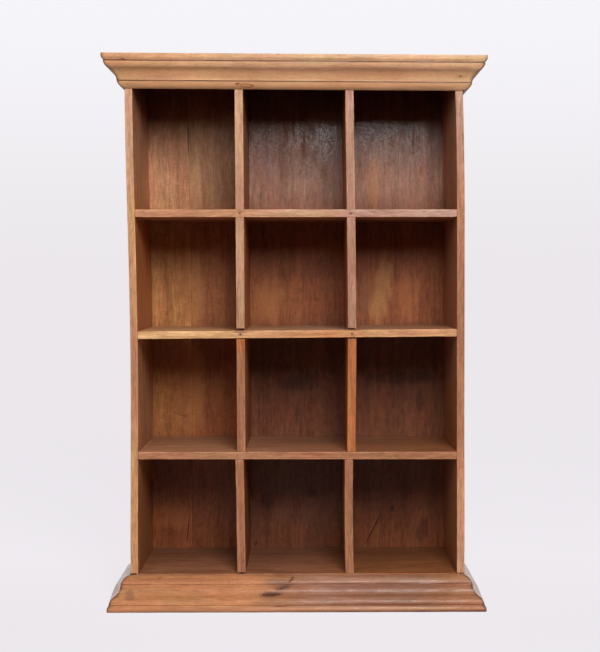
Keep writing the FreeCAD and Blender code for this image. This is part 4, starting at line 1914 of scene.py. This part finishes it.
@dataclass
class PlankBack:
    """Four vertical planks nailed behind the carcase."""

    settling: Settling

    REAR = (
        ((40, Tone.SIENNA), (450, Tone.CLAY), (860, Tone.TAN)),
        ((40, Tone.TAN), (450, Tone.SIENNA), (860, Tone.CLAY)),
    )
    # The dark last tone of each plank, at 850 mm, paints shade at the top of the upper row.
    PLANKS = (
        BoardLook(
            "back_plank_1", 41.0,
            tones=(
                (40, Tone.CHESTNUT), (120, Tone.CHESTNUT), (200, Tone.RUSSET), (235, Tone.RUSSET),
                (300, Tone.OLIVE), (420, Tone.OLIVE), (480, Tone.OCHRE), (640, Tone.OCHRE), (660, Tone.WHEAT),
                (730, Tone.CLAY), (800, Tone.DRIFT), (850, Tone.COCOA),
            ),
            faces=REAR[1],
            marks=(
                Mark(-188.6, 775, 34, 0.9, 90, 0.9, Tone.SOOT, 0.4),
                Mark(-252, 785, 26, 9, 80, 0.4, Tone.RUSSET, 1.2, 0.0),
                Mark(-192, 350, 110, 22, 90, 0.7, Tone.TAN, 0.6, 0.0),
                Mark(-192, 520, 90, 14, 90, 0.5, Tone.TAN, 0.6, 0.0),
                Mark(-230, 400, 50, 40, 0, 0.5, Tone.CHESTNUT, 0.6, 0.0),
                Mark(-262, 500, 110, 13, 90, 0.5, Tone.CHESTNUT, 0.6, 0.0),
                Mark(-198.2, 288.2, 5.5, 3.4, 30, 0.65, Tone.COCOA, 1.0, 0.0),
                Mark(-213, 294, 20, 1.6, -22, 0.55, Tone.COCOA, 0.6, 0.0),
                Mark(-220, 110, 50, 26, 0, 0.35, Tone.COPPER, 0.6, 0.0),
                Mark(-193.8, 86, 34, 1.0, 84, 0.9, Tone.SOOT, 0.4),
                Mark(-225, 70, 30, 22, 0, 0.35, Tone.COCOA, 1.2, 0.0),
            ),
        ),
        BoardLook(
            "back_plank_2", 42.0,
            tones=(
                (40, Tone.RUSSET), (220, Tone.CHESTNUT), (420, Tone.CHESTNUT), (470, Tone.TAN),
                (640, Tone.TAN), (680, Tone.DRIFT), (800, Tone.DRIFT), (850, Tone.COCOA),
            ),
            faces=REAR[0],
            marks=(
                Mark(-187.4, 780, 36, 0.8, 90, 0.8, Tone.SOOT, 0.4),
                Mark(-112, 520, 110, 20, 90, 0.6, Tone.RUSSET, 0.6, 0.0),
                Mark(-179, 338, 95, 26, 90, 0.8, Tone.OLIVE, 0.5, 0.0),
                Mark(-176, 510, 90, 20, 90, 0.6, Tone.OCHRE, 0.6, 0.0),
                Mark(-176, 690, 60, 14, 90, 0.5, Tone.WHEAT, 0.6, 0.0),
                Mark(-140, 330, 50, 16, 80, 0.35, Tone.OLIVE, 0.8, 0.0),
            ),
        ),
        BoardLook(
            "back_plank_3", 43.0,
            tones=(
                (40, Tone.COCOA), (420, Tone.COCOA), (470, Tone.CHESTNUT), (630, Tone.CHESTNUT),
                (680, Tone.HEATHER), (740, Tone.MAUVE), (800, Tone.MAUVE), (850, Tone.UMBER),
            ),
            faces=REAR[1],
            marks=(
                Mark(14.7, 770, 42, 3.4, 86, 0.75, Tone.COCOA, 1.2, 0.0),
                Mark(42, 549, 45, 26, 10, 0.5, Tone.COCOA, 1.2, 0.0),
                Mark(-46, 494, 52, 36, 90, 0.5, Tone.OLIVE, 0.8, 0.0),
                Mark(-4, 800, 30, 3.0, 92, 0.7, Tone.COCOA, 1.2, 0.0),
                Mark(-16, 480, 26, 12, 0, 0.45, Tone.CHESTNUT, 1.4, 0.0),
                Mark(6, 351, 50, 24, 4, 0.6, Tone.SOOT, 1.2, 0.0),
                Mark(0.4, 290, 26, 5, 88, 0.4, Tone.SOOT, 1.2, 0.0),
                Mark(-53.6, 134, 22, 15, 70, 0.5, Tone.SOOT, 1.2, 0.0),
                Mark(23, 152, 20, 12, 0, 0.4, Tone.SOOT, 1.2, 0.0),
                Mark(-73.6, 61, 5, 3, 60, 0.7),
            ),
        ),
        BoardLook(
            "back_plank_4", 44.0,
            tones=(
                (40, Tone.RUSSET), (200, Tone.COCOA), (420, Tone.COCOA), (460, Tone.CHESTNUT),
                (600, Tone.CHESTNUT), (640, Tone.RUSSET), (690, Tone.HEATHER), (800, Tone.MAUVE),
                (850, Tone.UMBER),
            ),
            faces=REAR[0],
            marks=(
                Mark(206, 770, 36, 3.2, 88, 0.65, Tone.COCOA, 1.2, 0.0),
                Mark(149.4, 502, 84, 22, 82, 0.75, Tone.OCHRE, 1.0, 0.0),
                Mark(196, 500, 60, 26, 88, 0.4, Tone.COPPER, 1.2, 0.0),
                Mark(119, 492, 50, 9, 88, 0.4, Tone.MAUVE, 1.2, 0.0),
                Mark(136, 698, 60, 17, 88, 0.55, Tone.OLIVE, 1.2, 0.0),
                Mark(183, 356, 80, 16, 0, 0.55, Tone.SOOT, 1.2, 0.0),
                Mark(218, 311, 30, 10, 88, 0.4, Tone.SOOT, 1.2, 0.0),
                Mark(134.6, 87, 37, 1.3, 62.6, 0.9, Tone.SOOT, 0.5),
                Mark(167.2, 123, 7, 5, 80, 0.65),
                Mark(222, 84, 30, 17, 80, 0.45, Tone.SOOT, 1.2, 0.0),
                Mark(168.5, 164, 26, 7, 80, 0.45, Tone.CHESTNUT, 1.2, 0.0),
            ),
        ),
    )
    POLISH = (0.75, 0.85, 1.0, 0.5)
    WORN_BELOW = 640.0

    def build(self) -> None:
        """Builds and dresses the planks, whose edges stay true where they touch."""
        for look, polish in zip(self.PLANKS, self.POLISH):
            look.fit(
                look.board(Axis.Z, true_faces=(0,)), self.settling, "back_wood", wax=Wax(polish, 0.22, 0.88),
                mottle=0.3, patina=Tone.CHESTNUT, roughness=0.5, worn_below=self.WORN_BELOW, sawn=0.5,
            )


@dataclass
class MouldingRing:
    """Cornice or plinth: a front and two sides, mitred at the front corners.

    Attributes:
        prefix: First word of its construction nodes.
        direction: -1 with the wide edge on top and 1 with it on the floor.
        seed: Number that makes it differ from the other ring.
        tones: Tones from left to right and, on the sides, from front to back.
        marks: Marks in the front.
        section: Its section.
        flares: How much fuller the left and the right side are at their rear ends, in millimetres.
        foot_grime: Height of the painted contact shadow and soiling along the front's wide edge, in
            millimetres.
        quirk_grime: Share of soiling and painted shade in the quirks.
        settled_fall: How much more it has come to fall to the right, in metres.
        contrast: Strength of the streaks.
        front_wax: Wax of the front.
        side_wax: Wax of the sides.
    """

    prefix: str
    direction: int
    seed: float
    tones: Tones
    marks: tuple[Mark, ...]
    section: MouldingSection
    flares: tuple[float, float] = (0.0, 0.0)
    foot_grime: float = 0.0
    quirk_grime: float = 1.0
    settled_fall: float = 0.0
    contrast: float = 1.0
    front_wax: Wax = Wax()
    side_wax: Wax = Wax()

    RUBBED = 0.22

    def build(self) -> None:
        """Builds and dresses the three lengths."""
        heights = self._heights()
        carcase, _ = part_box("side_panel_left")
        _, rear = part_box("back_plank_1")
        for side in Side:
            node = f"{self.prefix}_{side.name.lower()}"
            seed = self.seed + side.value
            front = side is Side.FRONT
            length = Moulding(
                f"{node}_worn", side, self.direction, *heights, -carcase.x, carcase.y, rear.y, seed,
                quirk_grime=self.quirk_grime, flare=self.flares[side is Side.RIGHT],
                foot_grime=self.foot_grime if front else 0.0, section=self.section,
            )
            wood = WoodFinish(
                f"{node} wood", Axis.X if front else Axis.Y, self.tones, seed,
                marks=self.marks if front else (), wax=self.front_wax if front else self.side_wax,
                contrast=self.contrast, rubbed=self.RUBBED,
            )
            dress(length.build(), wood.build(), node)

    def _heights(self) -> tuple[float, float]:
        """Height of the wide edge at the left and right ends, which the fall of the cornice sets apart.

        Returns:
            The two heights in metres.
        """
        low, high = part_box(f"{self.prefix}_front")
        if self.direction > 0:
            return low.z, low.z
        fall = (high.z - low.z) - MouldingSection().height * MM
        return high.z, high.z - fall - self.settled_fall


@dataclass
class Fixings:
    """Nails and pins."""

    settling: Settling

    NAILS = ("crossing_nails", "shelf_end_nails", "divider_nails", "back_nails")
    FIRST_SEED = 61

    def build(self) -> None:
        """Builds and dresses every group of nails, and gives the hidden pins their iron."""
        iron = IronFinish().build()
        for seed, node in enumerate(self.NAILS, start=self.FIRST_SEED):
            dress(Nails(f"{node}_old", node, seed, self.settling).build(), iron, node)
        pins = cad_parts["moulding_pins"].data
        pins.materials.clear()
        pins.materials.append(iron)


CORNICE = MouldingRing(
    "cornice", -1, 51.0,
    tones=((-300, Tone.HONEY), (-60, Tone.PALE_HONEY), (300, Tone.PALE_HONEY)),
    marks=(
        Mark(0, 853.5, 340, 8.5, -0.57, 0.35, Tone.GINGER, 0.2, 0.5),
        Mark(0, 838.0, 340, 7.5, -0.57, 0.4, Tone.GINGER, 0.2, 0.5),
        Mark(-266.7, 875.2, 6, 1.6, -14, 0.75, Tone.RUSSET),
        Mark(-80, 836.6, 17, 4.2, 2, 0.45, Tone.SIENNA, core=0.0),
        Mark(-75, 836.4, 12.5, 2.9, -3, 0.85, Tone.CHESTNUT, 0.4, 0.6),
        Mark(-76, 836.5, 10.0, 1.8, -3, 0.9, Tone.GINGER, 0.4, 0.5),
        Mark(-90, 839.2, 4.5, 1.9, 8, 0.85, Tone.RUSSET),
        Mark(-88, 831.6, 10, 1.5, 0, 0.7, Tone.COCOA),
        Mark(262.4, 848.4, 2.2, 1.5, 0, 0.9),
        Mark(262.4, 848.4, 11, 3.0, 0, 0.4, Tone.TAN, core=0.0),
        Mark(-190, 863.0, 110, 1.6, -0.5, 0.45, Tone.SIENNA, 1.0, 0.0),
        Mark(120, 860.5, 120, 1.5, -0.5, 0.35, Tone.SIENNA, 1.0, 0.0),
        Mark(-215, 849.5, 40, 5.0, 0, 0.35, Tone.HAZEL, 1.2, 0.0),
        Mark(-252, 838.5, 22, 4.0, 0, 0.4, Tone.HAZEL, 1.2, 0.0),
        Mark(254, 859.0, 34, 5.0, -4, 0.5, Tone.CLAY, 1.2, 0.0),
        Mark(215, 841.5, 60, 2.2, -0.5, 0.5, Tone.CLAY, 1.0, 0.0),
        Mark(-60, 842.0, 120, 1.8, -0.5, 0.4, Tone.CLAY, 1.0, 0.0),
        Mark(60, 833.0, 90, 2.0, -0.5, 0.4, Tone.GINGER, 1.0, 0.0),
        Mark(225, 832.0, 40, 3.0, -0.5, 0.45, Tone.SIENNA, 1.2, 0.0),
    ),
    section=MouldingSection(
        quirk_height=1.4, round_height=10.4, round_step=7.6, hollow_height=16.7, hollow_step=10.7,
        nose_height=10.7, nose_step=10.2, curve_sag=0.13,
    ),
    settled_fall=1.4 * MM,
    contrast=0.4,
)
PLINTH = MouldingRing(
    "plinth", 1, 55.0,
    tones=(
        (-300, Tone.GINGER), (-80, Tone.GINGER), (-20, Tone.SIENNA), (40, Tone.HAZEL), (120, Tone.HEATHER),
        (190, Tone.HEATHER), (230, Tone.SIENNA), (300, Tone.CLAY),
    ),
    marks=(
        Mark(0, 4.8, 340, 5.6, 0.1, 0.8, Tone.CLAY, 0.4, 0.3),
        # Pale band along the right fascia: paler wood with a painted highlight.
        Mark(150, 5.0, 150, 5.0, 0.1, 0.35, Tone.PALE_HONEY, 0.8, 0.0),
        Mark(-170, 47.0, 140, 5.0, 0, 0.4, Tone.TAN, 0.6, 0.0),
        # Painted highlight along the nose on the right half.
        Mark(160, 46.8, 150, 3.6, 0, 0.35, Tone.FAWN, 0.8, 0.0),
        # Painted shade in the valleys between the lit ridges on the right half.
        Mark(165, 12.0, 190, 2.4, 0, 0.75, Tone.RUSSET, 0.8, 0.0),
        Mark(165, 24.0, 190, 2.6, 0, 0.6, Tone.RUSSET, 0.8, 0.0),
        Mark(160, 36.6, 190, 2.0, 0, 0.45, Tone.MAUVE, 0.8, 0.0),
        Mark(160, 41.6, 200, 2.2, 0, 0.7, Tone.CHESTNUT, 0.8, 0.0),
        Mark(-40, 25.6, 23, 4.4, 2, 0.85, Tone.MAUVE, 0.9, 0.2),
        Mark(-40, 25.2, 19, 2.6, 2, 0.9, Tone.UMBER, 0.9),
        Mark(-20, 36.0, 18, 5.4, 14, 0.85, Tone.MAUVE, 1.0),
        Mark(-20, 35.4, 11, 2.0, 20, 0.8, Tone.UMBER, 1.0),
        Mark(-7.5, 48, 9, 2.6, 50, 0.85, Tone.COCOA),
        Mark(-25, 9.3, 15, 0.9, 1, 0.7, Tone.COCOA),
        Mark(-30, 42, 26, 8, 0, 0.4, Tone.MAUVE, 1.2, 0.0),
        Mark(-220.4, 49.5, 3, 1.5, 10, 0.6, Tone.COCOA),
        Mark(-267, 24, 11, 10, 60, 0.55, Tone.MAUVE, 1.2, 0.0),
        Mark(-190, 5.0, 130, 5.0, 0, 0.4, Tone.TAN, 0.8, 0.0),
        Mark(-200, 47.0, 90, 4.0, 0, 0.3, Tone.CHESTNUT, 0.8, 0.0),
    ),
    section=MouldingSection(quirk_depth=0.5),
    flares=(8.5, 4.0),
    # Painted contact shadow with soiling along the plinth's foot.
    foot_grime=3.6,
    # Soiling and painted shade in the plinth's quirks, kept light.
    quirk_grime=0.3,
    contrast=0.6,
    front_wax=Wax(0.31, 0.12, 0.55),
    side_wax=Wax(1.0, 0.15, 0.2),
)


# ---- Studio -----------------------------------------------------------------------------------------------


@dataclass(frozen=True)
class Lamp:
    """A soft oval lamp.

    Attributes:
        name: Name of the lamp.
        place: Where it hangs, in metres.
        size: Width and height in metres.
        power: Power in watts.
    """

    name: str
    place: tuple[float, float, float]
    size: tuple[float, float]
    power: float


@dataclass
class Studio:
    """Pale floor and backdrop, one large soft lamp in front, a weak one on the left and the camera."""

    camera_place: tuple[float, float, float] = (18.6, -2011.2, 534.5)
    camera_turn: tuple[float, float, float] = (0.332, -2.364, 0.24)
    focal_pixels: float = 1204.0
    picture_height: float = 652.0
    sensor: float = 36.0
    lamps: tuple[Lamp, ...] = (
        Lamp("soft_box", (0.33, -1.78, 1.445), (0.95, 0.92), 34.5),
        Lamp("left_fill", (-1.15, -1.75, 1.30), (1.20, 1.00), 8.0),
    )
    lamp_target: tuple[float, float, float] = (0.0, -0.08, 0.50)
    floor_radius: float = 7.0
    floor_rings: int = 24
    floor_sides: int = 96
    floor_spread: float = 1.6
    paper_edge: tuple[float, float] = (-1.0, -0.55)
    paper_tone: tuple[int, int, int] = (250, 248, 250)
    room_tone: tuple[int, int, int] = (60, 58, 56)
    near_tone: tuple[int, int, int] = (242, 238, 243)
    side_tone: tuple[int, int, int] = (250, 246, 251)
    horizon_tone: tuple[int, int, int] = (235, 231, 235)
    sky_tone: tuple[int, int, int] = (246, 245, 249)
    room_light: float = 0.02
    side_light: float = 0.3
    real_share: float = 0.15
    far_clip: float = 50.0

    FLOOR_CLOUD = 400.0
    FLOOR_MOTTLE = 0.01
    NEAR_FADE = (-0.3, 0.35)
    FAR_FADE = (0.8, 4.5)
    MIRROR_FADE = (-0.05, 0.2)
    REAL_FADE = (4.5, 0.8)
    SKY_FADE = (-0.02, 0.24)
    SIDE_FADE = (0.7, 0.95)
    BEHIND_FADE = (-0.1, 0.3)

    def build(self) -> None:
        """Builds the whole studio."""
        self._floor()
        self._world()
        self._light()
        self._camera()

    def _floor(self) -> None:
        """A wide round floor that fades into the backdrop."""
        points = [(0.0, 0.0, 0.0)]
        faces = []
        for ring in range(1, self.floor_rings + 1):
            radius = self.floor_radius * (ring / self.floor_rings) ** self.floor_spread
            for side in range(self.floor_sides):
                angle = 2 * math.pi * side / self.floor_sides
                points.append((radius * math.cos(angle), radius * math.sin(angle), 0.0))
        for side in range(self.floor_sides):
            after = (side + 1) % self.floor_sides
            faces.append([0, 1 + side, 1 + after])
            for ring in range(self.floor_rings - 1):
                low, high = 1 + ring * self.floor_sides, 1 + (ring + 1) * self.floor_sides
                faces.append([low + side, high + side, high + after, low + after])
        floor = make_object("studio_floor", np.array(points), faces)
        floor.data.materials.append(self._floor_material())

    def _floor_material(self) -> bpy.types.Material:
        """Matt pale paper. The camera sees it at a set level, with a share of its real light and shadow.

        Returns:
            The finished material.
        """
        material = new_material("studio floor")
        graph = Graph(material.node_tree)
        depth = graph.part(graph.node("ShaderNodeTexCoord", output="Object"), "Y")
        mottle = self.FLOOR_MOTTLE * graph.cloud(graph.millimetres(), self.FLOOR_CLOUD)
        paper = graph.mix(depth.fade(*self.paper_edge), linear(self.room_tone), linear(self.paper_tone))
        matt = graph.node("ShaderNodeBsdfPrincipled", {}, {"Base Color": paper, "Roughness": 1.0, "IOR": 1.0})
        near = graph.mix(depth.fade(*self.NEAR_FADE), linear(self.near_tone), linear(self.side_tone))
        shade = graph.mix(depth.fade(*self.FAR_FADE), near, linear(self.horizon_tone))
        glow_colour = graph.scale(shade, 1 - self.FLOOR_MOTTLE / 2 + mottle)
        glow = graph.node("ShaderNodeEmission", {}, {"Color": glow_colour, "Strength": 1.0})
        real = self.real_share * depth.fade(*self.REAL_FADE)
        share = graph.sight(depth.fade(*self.MIRROR_FADE)) * (1 - real)
        surface = graph.node("ShaderNodeMixShader", {}, {0: share, 1: matt, 2: glow})
        graph.node("ShaderNodeOutputMaterial", {}, {"Surface": surface})
        return material

    def _world(self) -> None:
        """Pale backdrop for the eye and for reflections behind the unit, with little light of its own."""
        world = bpy.data.worlds.new("studio")
        bpy.context.scene.world = world
        world.use_nodes = True
        graph = Graph(world.node_tree)
        way = graph.node("ShaderNodeTexCoord", output="Generated")
        sideways, backward, upward = (graph.part(way, name) for name in "XYZ")
        colour = graph.mix(upward.fade(*self.SKY_FADE), linear(self.horizon_tone), linear(self.sky_tone))
        room = self.room_light + self.side_light * abs(sideways).fade(*self.SIDE_FADE)
        strength = room + (1 - self.room_light) * graph.sight(backward.fade(*self.BEHIND_FADE))
        light = graph.node("ShaderNodeBackground", {}, {"Color": colour, "Strength": strength})
        graph.node("ShaderNodeOutputWorld", {}, {"Surface": light})

    def _light(self) -> None:
        """Hangs the lamps and turns them to the unit."""
        for lamp in self.lamps:
            light = bpy.data.lights.new(lamp.name, "AREA")
            light.shape = "ELLIPSE"
            light.size, light.size_y = lamp.size
            light.energy = lamp.power
            holder = link(bpy.data.objects.new(lamp.name, light))
            holder.location = lamp.place
            aim = Vector(self.lamp_target) - Vector(lamp.place)
            holder.rotation_euler = aim.to_track_quat("-Z", "Y").to_euler()

    def _camera(self) -> None:
        """Camera at the height of the third row, a little above level."""
        camera = bpy.data.cameras.new("camera")
        camera.sensor_fit = "VERTICAL"
        camera.sensor_height = self.sensor
        camera.lens = self.focal_pixels / self.picture_height * self.sensor
        camera.clip_end = self.far_clip
        holder = link(bpy.data.objects.new("camera", camera))
        yaw, pitch, roll = (math.radians(angle) for angle in self.camera_turn)
        turn = Matrix.Rotation(yaw, 4, "Z") @ Matrix.Rotation(pitch, 4, "X") @ Matrix.Rotation(roll, 4, "Y")
        place = Matrix.Translation(Vector(self.camera_place) * MM)
        holder.matrix_world = place @ turn @ Matrix.Rotation(math.pi / 2, 4, "X")
        bpy.context.scene.camera = holder
        bpy.context.scene.view_settings.view_transform = "Standard"


def main() -> None:
    """Builds the studio and then every sub-assembly in order."""
    logging.basicConfig(level=logging.INFO, format="%(name)s: %(message)s")
    settling = Settling()
    Studio().build()
    Carcase(settling).build()
    Shelves(settling).build()
    Dividers(settling).build()
    PlankBack(settling).build()
    CORNICE.build()
    PLINTH.build()
    Fixings(settling).build()


if __name__ == "__main__":
    main()
